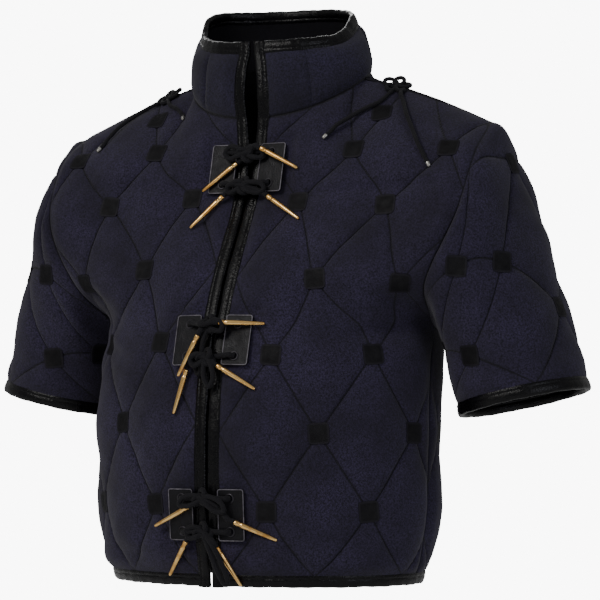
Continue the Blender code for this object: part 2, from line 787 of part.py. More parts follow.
def lay_rod(ground, start, end, radius):
    """Tilt a rod, and the lace's end in line with it, as near to what it lies on as it can go."""
    limits = []
    for n in range(-3, 14):
        t = n / 13
        spot = start.lerp(end, t)
        limit = ground.limit(spot.x, spot.z, LACE_RADIUS if n < 1 else radius)
        if limit is not None:
            limits.append((t, limit))
    front = min(y for t, y in limits if t <= 0.0)
    best = None
    for step in range(60):
        first = front - step * 0.0005
        room = [(t, (y - first * (1 - t)) / t) for t, y in limits if t != 0.0]
        low = max(y for t, y in room if t < 0.0)
        high = min([y for t, y in room if t > 0.0] + [first + 0.028])
        if low <= high and (best is None or first + high > sum(best)):
            best = (first, high)
    return Vector((start.x, best[0], start.z)), Vector((end.x, best[1], end.z))


def lay_cord(ground, route, radius, fixed):
    """Let a lace sink on what it lies on, but for its first points and its last two."""
    last = len(route) - 2
    limits = []
    for n, point in enumerate(route[:last]):
        near = [point, (point + route[n + 1]) / 2, (point + route[max(n - 1, 0)]) / 2]
        found = [ground.limit(p.x, p.z, radius) for p in near]
        limits.append(min([y for y in found if y is not None], default=None))
    for n in range(1, fixed):
        if limits[n] is not None:
            route[n].y = min(route[n].y, limits[n])
    for _ in range(60):
        for n in range(fixed, last):
            y = (route[n - 1].y + route[n + 1].y) / 2 + 0.0004
            if limits[n] is not None:
                y = min(y, limits[n])
            route[n].y = y
    return route


def make_cord(name, route, radius, cord, collection):
    """A lace's stretch as a round tube."""
    data = bpy.data.curves.new(name, "CURVE")
    data.dimensions = "3D"
    data.bevel_depth = radius
    data.bevel_resolution = 2
    data.use_fill_caps = True
    spline = data.splines.new("POLY")
    spline.points.add(len(route) - 1)
    for spot, point in zip(spline.points, route):
        spot.co = (*point, 1.0)
    return add_object(name, data, cord, collection)


def make_rod(name, start, end, top, tip, metal, collection):
    """A tapered metal point with a ring near its top."""
    way = end - start
    mesh = bmesh.new()
    turn = way.to_track_quat("Z", "Y")
    rings = [(0.0, top * 0.92), (0.10, top), (0.13, top * 0.80), (0.16, top), (0.55, top * 0.88),
             (1.0, tip)]
    loops = []
    for share_of_rod, radius in rings:
        loop = []
        for n in range(8):
            angle = 2 * math.pi * n / 8
            local = Vector((radius * math.cos(angle), radius * math.sin(angle), 0.0))
            loop.append(mesh.verts.new(start + way * share_of_rod + turn @ local))
        loops.append(loop)
    for a, b in zip(loops, loops[1:]):
        for n in range(8):
            m = (n + 1) % 8
            mesh.faces.new((a[n], a[m], b[m], b[n]))
    mesh.faces.new(loops[0])
    mesh.faces.new(loops[-1])
    bmesh.ops.recalc_face_normals(mesh, faces=mesh.faces)
    return finish(name, mesh, metal, collection)


def make_lace_end(ground, number, level, tail, eye, cord, metal, collection):
    """Half a lace: out of one eyelet, across the knot, and off to the other side's aiglet."""
    hole, normal = eye
    knot_z = TIE_HEIGHTS[number] + (EYELET_RISE if level == "upper" else -EYELET_RISE)
    aim = Vector((tail.aim_across, 0.0, tail.aim_up)).normalized()
    start = Vector((tail.start_across / 1000, 0.0, knot_z + tail.start_up / 1000))
    rod_start, rod_end = lay_rod(ground, start, start + aim * AIGLET_LENGTH, AIGLET_TOP)
    way = (rod_end - rod_start).normalized()
    rod_end = rod_start + way * AIGLET_LENGTH

    inward = Vector((-math.copysign(1.0, hole.x), 0.0, 0.0))
    face = hole + normal * (PLATE_THICKNESS / 2 + 0.0004)
    out = face + normal * LACE_RADIUS * 1.6 + inward * LACE_RADIUS * 0.9
    knot = Vector((0.0, ground.limit(0.0, knot_z, LACE_RADIUS), knot_z))
    bend = Vector((tail.bend_across / 1000, knot.y, knot_z + tail.bend_up / 1000))
    cord_end = rod_start - way * SEAM * 1.5
    lead = cord_end - way * LACE_RADIUS * 2
    points = [face, out, (out + knot) / 2, knot, bend, lead, cord_end]
    length = total(points)
    route = smooth_route(points, max(10, round(length / (LACE_RADIUS * 2.2))))
    route = lay_cord(ground, route, LACE_RADIUS, 2)
    route[-2] = cord_end - way * (route[-1] - route[-2]).length
    label = "right" if tail.side < 0 else "left"
    made = [make_cord(f"lace_{number + 1}_{level}_{label}", route, LACE_RADIUS, cord, collection),
            make_rod(f"aiglet_{number + 1}_{level}_{label}", rod_start, rod_end, AIGLET_TOP,
                     AIGLET_TIP, metal, collection)]
    for placed in made:
        ground.add(placed)


def make_shoulder_laces(ground, cord, metal, collection):
    """The tails of the two shoulder points, which lie on the cloth."""
    for tail in SHOULDER_TAILS:
        label = "left" if tail.side > 0 else "right"
        radius = SHOULDER_LACE_RADIUS
        points = [Vector((x, ground.limit(x, z, radius), z)) for x, z in tail.points]
        route = lay_cord(ground, smooth_route(points, 14), radius, 1)
        route[-2:] = [Vector((p.x, ground.limit(p.x, p.z, radius), p.z)) for p in route[-2:]]
        way = (route[-1] - route[-2]).normalized()
        placed = make_cord(f"shoulder_lace_{label}_{tail.name}", route, radius, cord, collection)
        start = route[-1] + way * SEAM
        make_rod(f"shoulder_tip_{label}_{tail.name}", start, start + way * TIP_LENGTH,
                 radius, radius * 0.75, metal, collection)
        ground.add(placed)


def main():
    """Build the whole garment."""
    for old in list(bpy.data.objects):
        bpy.data.objects.remove(old)
    collection = bpy.data.collections.new("gambeson")
    bpy.context.scene.collection.children.link(collection)
    cloth = material("padded_canvas", "27252f", 0.88)
    leather = material("black_leather", "1a191c", 0.42)
    cord = material("black_lace", "131215", 0.75)
    brass = material("brass", "b98a4a", 0.3, 1.0)
    tin = material("tinned_tip", "b9b7b2", 0.35, 1.0)

    walls = make_panels(cloth, collection)
    cuffs = {side: make_sleeve(walls, side, label, cloth, collection)
             for side, label in ((1, "left"), (-1, "right"))}
    collar = make_collar(walls, cloth, collection)
    make_bindings(walls, collar, cuffs, leather, collection)

    ground = Ground(["front_left", "front_right", "front_binding_left", "front_binding_right",
                     "hem_binding"])
    eyes = {}
    for number, tie in enumerate(TIE_HEIGHTS):
        for side, label in ((1, "left"), (-1, "right")):
            name = f"lace_plate_{number + 1}_{label}"
            eyes[number, side] = make_plate(ground.tree, tie, side, name, leather, collection)
    bpy.context.view_layer.update()
    for number in range(len(TIE_HEIGHTS)):
        for label in ("left", "right"):
            ground.add(bpy.data.objects[f"lace_plate_{number + 1}_{label}"])
    for number in range(len(TIE_HEIGHTS)):
        for which, level in ((1, "lower"), (0, "upper")):
            for tail in TAILS[number, level]:
                eyelets, normal = eyes[number, -tail.side]
                make_lace_end(ground, number, level, tail, (eyelets[which], normal), cord, brass,
                              collection)
    make_shoulder_laces(ground, cord, tin, collection)


main()
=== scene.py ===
"""Looks of a quilted arming jacket with a stand collar, short sleeves and laced fronts.

Every cloth piece is rebuilt from the same named sizes as its solid, on a finer lattice, and
gets its quilting, seams and creases here. All sizes are metres unless a name says otherwise.
"""

from __future__ import annotations

import logging
import math
import random
from collections.abc import Callable, Sequence
from dataclasses import dataclass, field
from enum import Enum
from typing import ClassVar

import bmesh
import bpy
import numpy as np
from mathutils import Matrix, Vector
from mathutils.bvhtree import BVHTree

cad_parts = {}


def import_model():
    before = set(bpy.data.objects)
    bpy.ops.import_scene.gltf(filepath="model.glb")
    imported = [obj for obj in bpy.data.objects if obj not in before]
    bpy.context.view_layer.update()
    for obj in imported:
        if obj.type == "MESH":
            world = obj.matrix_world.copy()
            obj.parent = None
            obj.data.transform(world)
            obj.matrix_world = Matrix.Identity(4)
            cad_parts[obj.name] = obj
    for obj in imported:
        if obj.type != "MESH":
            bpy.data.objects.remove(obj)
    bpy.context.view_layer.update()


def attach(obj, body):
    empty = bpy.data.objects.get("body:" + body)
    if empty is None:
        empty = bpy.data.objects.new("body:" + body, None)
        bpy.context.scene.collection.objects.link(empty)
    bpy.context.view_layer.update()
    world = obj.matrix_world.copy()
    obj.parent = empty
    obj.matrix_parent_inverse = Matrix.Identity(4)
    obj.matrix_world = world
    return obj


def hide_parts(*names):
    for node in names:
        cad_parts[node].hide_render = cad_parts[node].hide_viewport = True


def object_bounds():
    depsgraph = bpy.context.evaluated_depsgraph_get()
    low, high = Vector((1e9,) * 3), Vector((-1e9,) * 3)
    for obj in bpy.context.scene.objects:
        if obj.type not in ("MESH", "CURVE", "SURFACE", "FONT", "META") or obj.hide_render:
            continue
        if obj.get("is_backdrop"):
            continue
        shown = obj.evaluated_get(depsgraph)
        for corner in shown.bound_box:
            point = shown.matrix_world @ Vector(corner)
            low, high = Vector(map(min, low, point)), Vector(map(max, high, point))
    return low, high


LOG = logging.getLogger("jacket")
MM = 0.001


class Side(Enum):
    """Which side of the wearer a piece is on, as the sign of its X."""

    LEFT = 1
    RIGHT = -1

    @property
    def label(self) -> str:
        """The side's name in lower case."""
        return self.name.lower()


# Finishes

SEAM_SHADE = "040306"         # the shadow in a sewn joint
STITCH_AND_FURROW_SHADE = "0b0a0e"       # black thread in its furrow, and painted shade along the furrow between the stitches
DIAMOND = 3                  # lattice cells from a quilting line's crossing to the next patch


def linear(code: str) -> tuple[float, float, float, float]:
    """Turn an sRGB hex colour into linear RGBA.

    Args:
        code: Six hex digits.

    Returns:
        Linear red, green, blue and an alpha of 1.
    """
    values = [int(code[n:n + 2], 16) / 255 for n in (0, 2, 4)]
    flat = [v / 12.92 if v <= 0.04045 else ((v + 0.055) / 1.055) ** 2.4 for v in values]
    return flat[0], flat[1], flat[2], 1.0


def node(tree: bpy.types.NodeTree, kind: str, inputs: dict | None = None,
         **settings: object) -> bpy.types.Node:
    """Add one shader node with its settings, values and links.

    Args:
        tree: The material's node tree.
        kind: The node's type name, without the ShaderNode prefix.
        inputs: Socket name or number to a value, or to an output socket to link.
        settings: Attributes of the node.

    Returns:
        The new node.
    """
    made = tree.nodes.new(f"ShaderNode{kind}")
    for name, value in settings.items():
        setattr(made, name, value)
    for name, value in (inputs or {}).items():
        if isinstance(value, bpy.types.NodeSocket):
            tree.links.new(value, made.inputs[name])
        else:
            made.inputs[name].default_value = value
    return made


@dataclass(frozen=True)
class Finish:
    """What one material is, as its eye-level facts."""

    name: str
    colour: str
    dark: str
    roughness: float
    metallic: float = 0.0
    sheen: float = 0.0
    specular: float = 0.5

    def start(self) -> tuple[bpy.types.Material, bpy.types.NodeTree]:
        """Make the material with its own even values set.

        Returns:
            The material and its node tree.
        """
        made = bpy.data.materials.new(self.name)
        made.use_nodes = True
        shader = made.node_tree.nodes["Principled BSDF"]
        shader.inputs["Base Color"].default_value = linear(self.colour)
        shader.inputs["Roughness"].default_value = self.roughness
        shader.inputs["Metallic"].default_value = self.metallic
        shader.inputs["Sheen Weight"].default_value = self.sheen
        shader.inputs["Sheen Roughness"].default_value = 0.5
        shader.inputs["Specular IOR Level"].default_value = self.specular
        return made, made.node_tree

    def mottled(self, tree: bpy.types.NodeTree,
                factor: bpy.types.NodeSocket) -> bpy.types.NodeSocket:
        """Mix the dark tone into the main one: mottling on most finishes, painted shade in the
        braid's hollows.

        Args:
            tree: The material's node tree.
            factor: 0 for the dark tone and 1 for the main one.

        Returns:
            The mixed colour.
        """
        return node(tree, "Mix", {0: factor, 6: linear(self.dark), 7: linear(self.colour)},
                    data_type="RGBA").outputs[2]

    def finished(self, made: bpy.types.Material, base: bpy.types.NodeSocket,
                 bump: dict[str, object],
                 rough: bpy.types.NodeSocket | None = None) -> bpy.types.Material:
        """Link the patterns to the shader.

        Args:
            made: The material.
            base: Its colour.
            bump: The Height, Strength and Distance of its relief.
            rough: Its roughness, or none where that is even.

        Returns:
            The material.
        """
        tree = made.node_tree
        links = {"Base Color": base, "Normal": node(tree, "Bump", bump).outputs[0]}
        if rough:
            links["Roughness"] = rough
        for name, socket in links.items():
            tree.links.new(socket, tree.nodes["Principled BSDF"].inputs[name])
        return made


@dataclass(frozen=True)
class Canvas(Finish):
    """Brushed cotton canvas: a plain weave with a flecked, slightly hairy face."""

    thread_mm: float = 1.1       # real threads are 0.6 mm apart; drawn coarser so that they show
    fleck_mm: float = 1.9        # pale lint on the dark cloth
    stitched: bool = True
    cell_mm: tuple[float, float] = (19.3, 28.8)
    stitch_mm: float = 3.4

    def build(self) -> bpy.types.Material:
        """Make the canvas, which reads the piece's lattice UV map.

        Returns:
            The material.
        """
        made, tree = self.start()
        uv = node(tree, "UVMap", uv_map="lattice").outputs[0]
        place = node(tree, "TexCoord").outputs["Object"]
        split = node(tree, "SeparateXYZ", {0: uv})
        threads = []
        for k in (0, 1):
            turns = self.cell_mm[k] / self.thread_mm * math.pi
            angle = node(tree, "Math", {0: split.outputs[k], 1: turns}, operation="MULTIPLY")
            threads.append(node(tree, "Math", {0: angle.outputs[0]}, operation="SINE").outputs[0])
        weave = node(tree, "Math", {0: threads[0], 1: threads[1]}, operation="MULTIPLY").outputs[0]
        fleck = node(tree, "TexNoise", {"Vector": place, "Scale": 1 / (self.fleck_mm * MM),
                                        "Detail": 3.0, "Roughness": 0.7}).outputs[0]
        cloud = node(tree, "TexNoise", {"Vector": place, "Scale": 16.0, "Detail": 3.0}).outputs[0]
        lint = node(tree, "MapRange", {0: fleck, 1: 0.36, 2: 0.66}).outputs[0]
        broad = node(tree, "MapRange", {0: cloud, 1: 0.3, 2: 0.7, 3: 0.32, 4: 1.0}).outputs[0]
        tone = node(tree, "Math", {0: lint, 1: broad}, operation="MULTIPLY").outputs[0]
        base = self.mottled(tree, tone)
        height = node(tree, "Math", {0: weave, 1: 0.35, 2: fleck},
                      operation="MULTIPLY_ADD").outputs[0]
        # painted shade: the cloth is darkened along its sewn seams
        seam = node(tree, "Attribute", attribute_name="seam").outputs["Fac"]
        seam_shade = node(tree, "MapRange", {0: seam, 1: 0.13, 2: 0.05, 4: 0.85}).outputs[0]
        base = node(tree, "Mix", {0: seam_shade, 6: base, 7: linear(SEAM_SHADE)},
                    data_type="RGBA").outputs[2]
        if self.stitched:
            line, thread = self.stitches(tree, split)
            base = node(tree, "Mix", {0: line, 6: base, 7: linear(STITCH_AND_FURROW_SHADE)},
                        data_type="RGBA").outputs[2]
            height = node(tree, "Math", {0: thread, 1: 1.6, 2: height},
                          operation="MULTIPLY_ADD").outputs[0]
        return self.finished(made, base, {"Height": height, "Strength": 0.5, "Distance": 0.0005})

    def stitches(self, tree: bpy.types.NodeTree,
                 split: bpy.types.Node) -> tuple[bpy.types.NodeSocket, bpy.types.NodeSocket]:
        """Draw the quilting's lines of stitches on the lattice.

        Args:
            tree: The material's node tree.
            split: The lattice coordinates, in cells.

        Returns:
            How dark the line is, as black thread and painted furrow shade, and the thread's
            height.
        """
        u, v = split.outputs[0], split.outputs[1]
        cell = math.hypot(*self.cell_mm)
        marks = []
        for sign, other in ((-1.0, 1.0), (1.0, -1.0)):
            across = node(tree, "Math", {0: v, 1: sign, 2: u}, operation="MULTIPLY_ADD").outputs[0]
            ahead = node(tree, "Math", {0: v, 1: other, 2: u}, operation="MULTIPLY_ADD").outputs[0]
            near = node(tree, "Math", {0: across, 1: float(DIAMOND)},
                        operation="PINGPONG").outputs[0]
            mask = node(tree, "MapRange", {0: near, 1: 0.09, 2: 0.045}).outputs[0]
            step = node(tree, "Math", {0: ahead, 1: cell / self.stitch_mm * math.pi},
                        operation="MULTIPLY").outputs[0]
            wave = node(tree, "Math", {0: step}, operation="SINE").outputs[0]
            dash = node(tree, "MapRange", {0: wave, 1: -0.8, 2: -0.4}).outputs[0]
            thread = node(tree, "Math", {0: mask, 1: dash}, operation="MULTIPLY").outputs[0]
            marks.append((mask, thread))
        # the dark band runs unbroken along each line: black thread on the stitches, painted shade
        # in the furrow between them
        dark, thread = (node(tree, "Math", {0: first, 1: second}, operation="MAXIMUM").outputs[0]
                        for first, second in zip(*marks))
        return node(tree, "Math", {0: dark, 1: 0.75}, operation="MULTIPLY").outputs[0], thread


@dataclass(frozen=True)
class Leather(Finish):
    """Dyed cowhide: fine pebbled grain, rubbed paler where it stands proud."""

    grain_mm: float = 1.3
    crease_mm: float = 9.0
    bump: float = 0.0004
    border: str = ""             # thread round a sewn patch, 1.7 mm wide on 24.5 mm

    def build(self) -> bpy.types.Material:
        """Make the leather from Object coordinates.

        Returns:
            The material.
        """
        made, tree = self.start()
        place = node(tree, "TexCoord").outputs["Object"]
        grain = node(tree, "TexVoronoi", {"Vector": place, "Scale": 1 / (self.grain_mm * MM)},
                     feature="F1").outputs["Distance"]
        crease = node(tree, "TexNoise", {"Vector": place, "Scale": 1 / (self.crease_mm * MM),
                                         "Detail": 5.0, "Roughness": 0.6}).outputs[0]
        tone = node(tree, "MapRange", {0: crease, 1: 0.35, 2: 0.62}).outputs[0]
        base = self.mottled(tree, tone)
        if self.border:
            uv = node(tree, "UVMap", uv_map="lattice").outputs[0]
            split = node(tree, "SeparateXYZ", {0: uv})
            away = []
            for k in (0, 1):
                off = node(tree, "Math", {0: split.outputs[k], 1: 0.5}, operation="SUBTRACT")
                size = node(tree, "Math", {0: off.outputs[0]}, operation="ABSOLUTE")
                away.append(size.outputs[0])
            rim = node(tree, "Math", {0: away[0], 1: away[1]}, operation="MAXIMUM").outputs[0]
            sewn = node(tree, "MapRange", {0: rim, 1: 0.38, 2: 0.43}).outputs[0]
            base = node(tree, "Mix", {0: sewn, 6: base, 7: linear(self.border)},
                        data_type="RGBA").outputs[2]
        rough = node(tree, "MapRange", {0: crease, 1: 0.3, 2: 0.7, 3: self.roughness + 0.12,
                                        4: self.roughness - 0.06}).outputs[0]
        height = node(tree, "Math", {0: crease, 1: 2.5, 2: grain},
                      operation="MULTIPLY_ADD").outputs[0]
        return self.finished(made, base, {"Height": height, "Strength": 0.6,
                                          "Distance": self.bump}, rough)


@dataclass(frozen=True)
class Braid(Finish):
    """Round braided cord: two sets of strands cross as they wind round it."""

    strands: float = 6.0
    pitch_mm: float = 7.0

    def build(self) -> bpy.types.Material:
        """Make the braid, which reads turns round the cord and metres along it.

        Returns:
            The material.
        """
        made, tree = self.start()
        uv = node(tree, "UVMap", uv_map="lattice").outputs[0]
        split = node(tree, "SeparateXYZ", {0: uv})
        turn = node(tree, "Math", {0: split.outputs[0], 1: self.strands * math.pi},
                    operation="MULTIPLY").outputs[0]
        ahead = node(tree, "Math", {0: split.outputs[1], 1: 2 * math.pi / (self.pitch_mm * MM)},
                     operation="MULTIPLY").outputs[0]
        waves = []
        for kind in ("ADD", "SUBTRACT"):
            angle = node(tree, "Math", {0: turn, 1: ahead}, operation=kind).outputs[0]
            sine = node(tree, "Math", {0: angle}, operation="SINE").outputs[0]
            waves.append(node(tree, "Math", {0: sine}, operation="ABSOLUTE").outputs[0])
        height = node(tree, "Math", {0: waves[0], 1: waves[1]}, operation="MAXIMUM").outputs[0]
        # painted shade: the hollows between the strands are coloured darker than the strands
        base = self.mottled(tree, height)
        return self.finished(made, base, {"Height": height, "Strength": 0.9, "Distance": 0.0006})


@dataclass(frozen=True)
class Metal(Finish):
    """Turned and dipped metal, dulled in patches by handling."""

    patch_mm: float = 11.0

    def build(self) -> bpy.types.Material:
        """Make the metal from Object coordinates.

        Returns:
            The material.
        """
        made, tree = self.start()
        place = node(tree, "TexCoord").outputs["Object"]
        dull = node(tree, "TexNoise", {"Vector": place, "Scale": 1 / (self.patch_mm * MM),
                                       "Detail": 4.0}).outputs[0]
        tone = node(tree, "MapRange", {0: dull, 1: 0.3, 2: 0.6}).outputs[0]
        base = self.mottled(tree, tone)
        rough = node(tree, "MapRange", {0: dull, 1: 0.3, 2: 0.7, 3: self.roughness + 0.15,
                                        4: self.roughness - 0.05}).outputs[0]
        return self.finished(made, base, {"Height": dull, "Strength": 0.08,
                                          "Distance": 0.0002}, rough)


CANVAS = Canvas("charcoal_canvas", "352f4a", "100d18", 0.93, sheen=0.08, specular=0.3)
COLLAR_CANVAS = Canvas("collar_canvas", "2e2a43", "0e0c15", 0.93, sheen=0.08, specular=0.3,
                       stitched=False)
LINING = Canvas("black_lining", "111016", "08070b", 0.95, stitched=False, specular=0.2)
EDGE_LEATHER = Leather("edge_leather", "050407", "020203", 0.24, specular=0.2)
PATCH_LEATHER = Leather("patch_leather", "08070b", "040306", 0.66, grain_mm=1.0, specular=0.2,
                        border="141219")
PLATE_LEATHER = Leather("plate_leather", "0d0c12", "060509", 0.46, specular=0.22)
# the plates' rims are drawn much paler than the plates' own leather
PALE_RIM = Leather("rubbed_edge", "6a666e", "34313a", 0.45)
LACE = Braid("waxed_lace", "111015", "030305", 0.78, sheen=0.04, specular=0.22)
BRASS = Metal("lacquered_brass", "f7cd86", "c89148", 0.22, metallic=1.0)
TIN = Metal("tinned_iron", "b9b7b2", "77756f", 0.36, metallic=1.0)
BLACKED = Metal("blacked_steel", "3c3a3f", "1f1e21", 0.4, metallic=0.8)


# The cut: the same sizes and stations as the solids


@dataclass(frozen=True)
class Station:
    """One level of a panel: its depth at the centre, its side end and how far it sweeps round."""

    row: float
    height: float
    depth: float
    end_x: float
    end_y: float
    end_height: float
    sweep: float


def bent(t: float, start: np.ndarray | float, leave: np.ndarray | float,
         end: np.ndarray | float, arrive: np.ndarray | float) -> np.ndarray | float:
    """Read a cubic between two ends.

    Args:
        t: 0 at the start and 1 at the end.
        start: The value at the start.
        leave: The slope there.
        end: The value at the end.
        arrive: The slope there.

    Returns:
        The value at t.
    """
    return ((2 * t**3 - 3 * t**2 + 1) * start + (t**3 - 2 * t**2 + t) * leave
            + (3 * t**2 - 2 * t**3) * end + (t**3 - t**2) * arrive)


def through(knots: Sequence[float], values: Sequence, at: float) -> np.ndarray | float:
    """Read a smooth curve through values at rising knots.

    Args:
        knots: Where the values are.
        values: Numbers or arrays.
        at: Where to read.

    Returns:
        The value there.
    """
    last = len(knots) - 1
    n = 0
    while n < last - 1 and at > knots[n + 1]:
        n += 1

    def slope(k: int) -> np.ndarray | float:
        """The slope at one knot."""
        low, high = max(k - 1, 0), min(k + 1, last)
        return (values[high] - values[low]) / (knots[high] - knots[low])

    span = knots[n + 1] - knots[n]
    return bent((at - knots[n]) / span, values[n], span * slope(n), values[n + 1],
                span * slope(n + 1))


def walked(line: np.ndarray) -> np.ndarray:
    """How far along a polyline each of its points is."""
    return np.concatenate([[0.0], np.cumsum(np.linalg.norm(np.diff(line, axis=0), axis=1))])


def unit(vectors: np.ndarray) -> np.ndarray:
    """Vectors of length 1."""
    return vectors / np.maximum(np.linalg.norm(vectors, axis=-1, keepdims=True), 1e-12)


def tangents(points: np.ndarray, wrap: bool, axis: int = 0) -> np.ndarray:
    """Which way the points run, at each of them.

    Args:
        points: A line, or a grid.
        wrap: Whether the last point meets the first.
        axis: The grid's axis to follow.

    Returns:
        Vectors of any length.
    """
    if wrap:
        return np.roll(points, -1, axis=axis) - np.roll(points, 1, axis=axis)
    return np.gradient(points, axis=axis)


def along(line: np.ndarray, lengths: Sequence[float]) -> np.ndarray:
    """Points on a polyline at the given distances from its start.

    Args:
        line: The polyline's points.
        lengths: Distances along it.

    Returns:
        One point for each distance.
    """
    return np.stack([np.interp(lengths, walked(line), line[:, k]) for k in range(3)], axis=1)


def smoothstep(low: float, high: float, value: np.ndarray) -> np.ndarray:
    """Ease from 0 at low to 1 at high."""
    t = np.clip((value - low) / (high - low), 0.0, 1.0)
    return t * t * (3 - 2 * t)


def refine(grid: np.ndarray, count: int, axis: int, wrap: bool = False) -> np.ndarray:
    """Add points between a grid's points on smooth curves through them.

    Args:
        grid: Points in rows and columns.
        count: How many steps each cell is cut into.
        axis: 0 to refine the rows and 1 the columns.
        wrap: Whether the last column meets the first.

    Returns:
        The finer grid.
    """
    lines = np.moveaxis(grid, axis, 0)
    if wrap:
        padded = np.concatenate([lines[-1:], lines, lines[:2]])
        spans = len(lines)
    else:
        padded = np.concatenate([2 * lines[:1] - lines[1:2], lines, 2 * lines[-1:] - lines[-2:-1]])
        spans = len(lines) - 1
    at = np.arange(spans * count + (0 if wrap else 1)) / count
    cell = np.minimum(at.astype(int), spans - 1)
    t = (at - cell).reshape(-1, *[1] * (grid.ndim - 1))
    a, b, c, d = (padded[cell + k] for k in range(4))
    fine = 0.5 * (2 * b + (c - a) * t + (2 * a - 5 * b + 4 * c - d) * t**2
                  + (3 * b - a - 3 * c + d) * t**3)
    return np.moveaxis(fine, 0, axis)


@dataclass(frozen=True)
class Cut:
    """The garment's sizes, and the coarse lattices of its pieces."""

    wall: float = 0.0035
    puff: float = 0.0075
    seam: float = 0.0003
    binding_width: float = 0.0132
    binding_half: float = 0.0036
    front_gap: float = 0.0012
    neck_gap: float = 0.0080
    collar_half: float = 0.110
    shoulder: tuple[float, float, float] = (0.268, 0.0, -0.058)
    cuff_centre: tuple[float, float, float] = (0.299, 0.011, -0.361)
    cuff_radius: float = 0.0735
    cuff_lean: float = math.radians(13.0)
    sleeve_rows: int = 12
    diamond: int = DIAMOND
    columns: int = 14
    even_share: float = 0.885    # how much of a level the evenly wide columns take
    neck_round: float = 1.2      # how quickly the neckline drops to the centre
    neck_columns: int = 5
    rows: int = 20
    underarm: int = 10
    neck_front: tuple[float, float] = (-0.072, -0.049)
    neck_back: tuple[float, float] = (0.078, 0.028)
    front: tuple[Station, ...] = (
        Station(0.0, -0.565, -0.168, 0.190, -0.036, -0.565, 90),
        Station(1.5, -0.536, -0.1735, 0.198, -0.037, -0.536, 90),
        Station(3.0, -0.493, -0.177, 0.203, -0.036, -0.493, 90),
        Station(6.0, -0.4065, -0.178, 0.205, -0.035, -0.4065, 90),
        Station(9.0, -0.320, -0.167, 0.205, -0.027, -0.318, 90),
        Station(10.0, -0.290, -0.160, 0.203, -0.012, -0.287, 88),
        Station(12.0, -0.2335, -0.137, 0.222, -0.085, -0.245, 75),
        Station(15.0, -0.147, -0.090, 0.262, -0.088, -0.165, 60),
        Station(18.0, -0.088, -0.074, 0.270, -0.050, -0.092, 50))
    back: tuple[Station, ...] = (
        Station(0.0, -0.565, 0.098, 0.190, -0.036, -0.565, 90),
        Station(1.5, -0.536, 0.103, 0.198, -0.037, -0.536, 90),
        Station(3.0, -0.493, 0.106, 0.203, -0.036, -0.493, 90),
        Station(6.0, -0.4065, 0.110, 0.205, -0.035, -0.4065, 90),
        Station(9.0, -0.320, 0.117, 0.205, -0.027, -0.318, 90),
        Station(10.0, -0.288, 0.120, 0.203, -0.012, -0.287, 88),
        Station(12.0, -0.229, 0.124, 0.222, 0.064, -0.245, 75),
        Station(15.0, -0.136, 0.124, 0.262, 0.080, -0.165, 60),
        Station(18.0, -0.046, 0.106, 0.270, 0.048, -0.092, 50))
    rings: tuple[tuple[float, ...], ...] = (
        (1 / 4, 0.1085, -0.0745, 0.0785, -0.030, 0.013, 0.016, 0.041),
        (2 / 4, 0.1060, -0.0755, 0.0785, -0.011, 0.025, 0.032, 0.054),
        (3 / 4, 0.1020, -0.0750, 0.0780, 0.008, 0.037, 0.049, 0.066),
        (4 / 4, 0.0960, -0.0735, 0.0765, 0.026, 0.048, 0.066, 0.078))
    collar_lean: float = 0.005

    def section(self, station: Station, edge: float) -> np.ndarray:
        """One level's points from the panel's edge at the centre out to its side.

        Args:
            station: The level.
            edge: How far from the centre front the cloth begins.

        Returns:
            A point for each column.
        """
        sweep = math.radians(station.sweep)
        t = np.linspace(0.0, 1.0, 61)
        rise = (1 - np.cos(sweep * t)) / (1 - math.cos(sweep))
        line = np.stack([station.end_x * np.sin(sweep * t) / math.sin(sweep),
                         station.depth + (station.end_y - station.depth) * rise,
                         station.height + (station.end_height - station.height) * t * t], axis=1)
        length = walked(line)[-1]
        wide = length * self.even_share
        even = self.columns - 2
        spots = [edge + (wide - edge) * i / even for i in range(even + 1)]
        return along(line, [*spots, (wide + length) / 2, length * 0.99999])

    def top_edge(self, neck: tuple[float, float], edge: float) -> np.ndarray:
        """The neckline and then the shoulder seam, from the centre to the armhole.

        Args:
            neck: The neckline's depth and height at the centre.
            edge: How far from the centre the cloth begins.

        Returns:
            A point for each column.
        """
        turn = np.linspace(0.0, math.pi / 2, 41)
        drop = np.clip(np.cos(turn), 0.0, 1.0) ** self.neck_round
        drop[-1] = 0.0
        line = np.stack([self.collar_half * np.sin(turn), neck[0] * np.cos(turn),
                         neck[1] * drop], axis=1)
        length = walked(line)[-1]
        spots = [edge + (length - edge) * i / self.neck_columns for i in range(self.neck_columns)]
        t = np.arange(1, self.columns - self.neck_columns + 1) / (self.columns - self.neck_columns)
        seam = np.stack([self.collar_half + (self.shoulder[0] - self.collar_half) * t,
                         self.shoulder[1] * t,
                         self.shoulder[2] * (0.72 * t + 0.28 * t * t)], axis=1)
        return np.concatenate([along(line, spots), line[-1:], seam])

    def half_panel(self, stations: Sequence[Station], neck: tuple[float, float],
                   edges: Sequence[float], lift: float) -> np.ndarray:
        """A lattice from hem to top and from the centre to the wearer's left side.

        Args:
            stations: The panel's levels.
            neck: The neckline at the centre.
            edges: The cloth's edge at each level and the neckline.
            lift: How many cells higher the quilting sits.

        Returns:
            Points in rows and columns.
        """
        levels = np.stack([self.section(s, e) for s, e in zip(stations, edges)]
                          + [self.top_edge(neck, edges[-1])])
        at = [s.row for s in stations] + [float(self.rows)]
        under = at.index(float(self.underarm))
        grid = np.zeros((self.rows + 1, self.columns + 1, 3))
        for j in range(self.rows + 1):
            for i in range(self.columns + 1):
                if i == self.columns:
                    part = slice(0, under + 1) if j <= self.underarm else slice(under, None)
                    grid[j, i] = through(at[part], levels[part, i], float(j))
                else:
                    share = 1 - (i / self.columns) ** 4
                    place = j + lift * math.sin(math.pi * j / self.rows) * share
                    grid[j, i] = through(at, levels[:, i], place)
        return grid

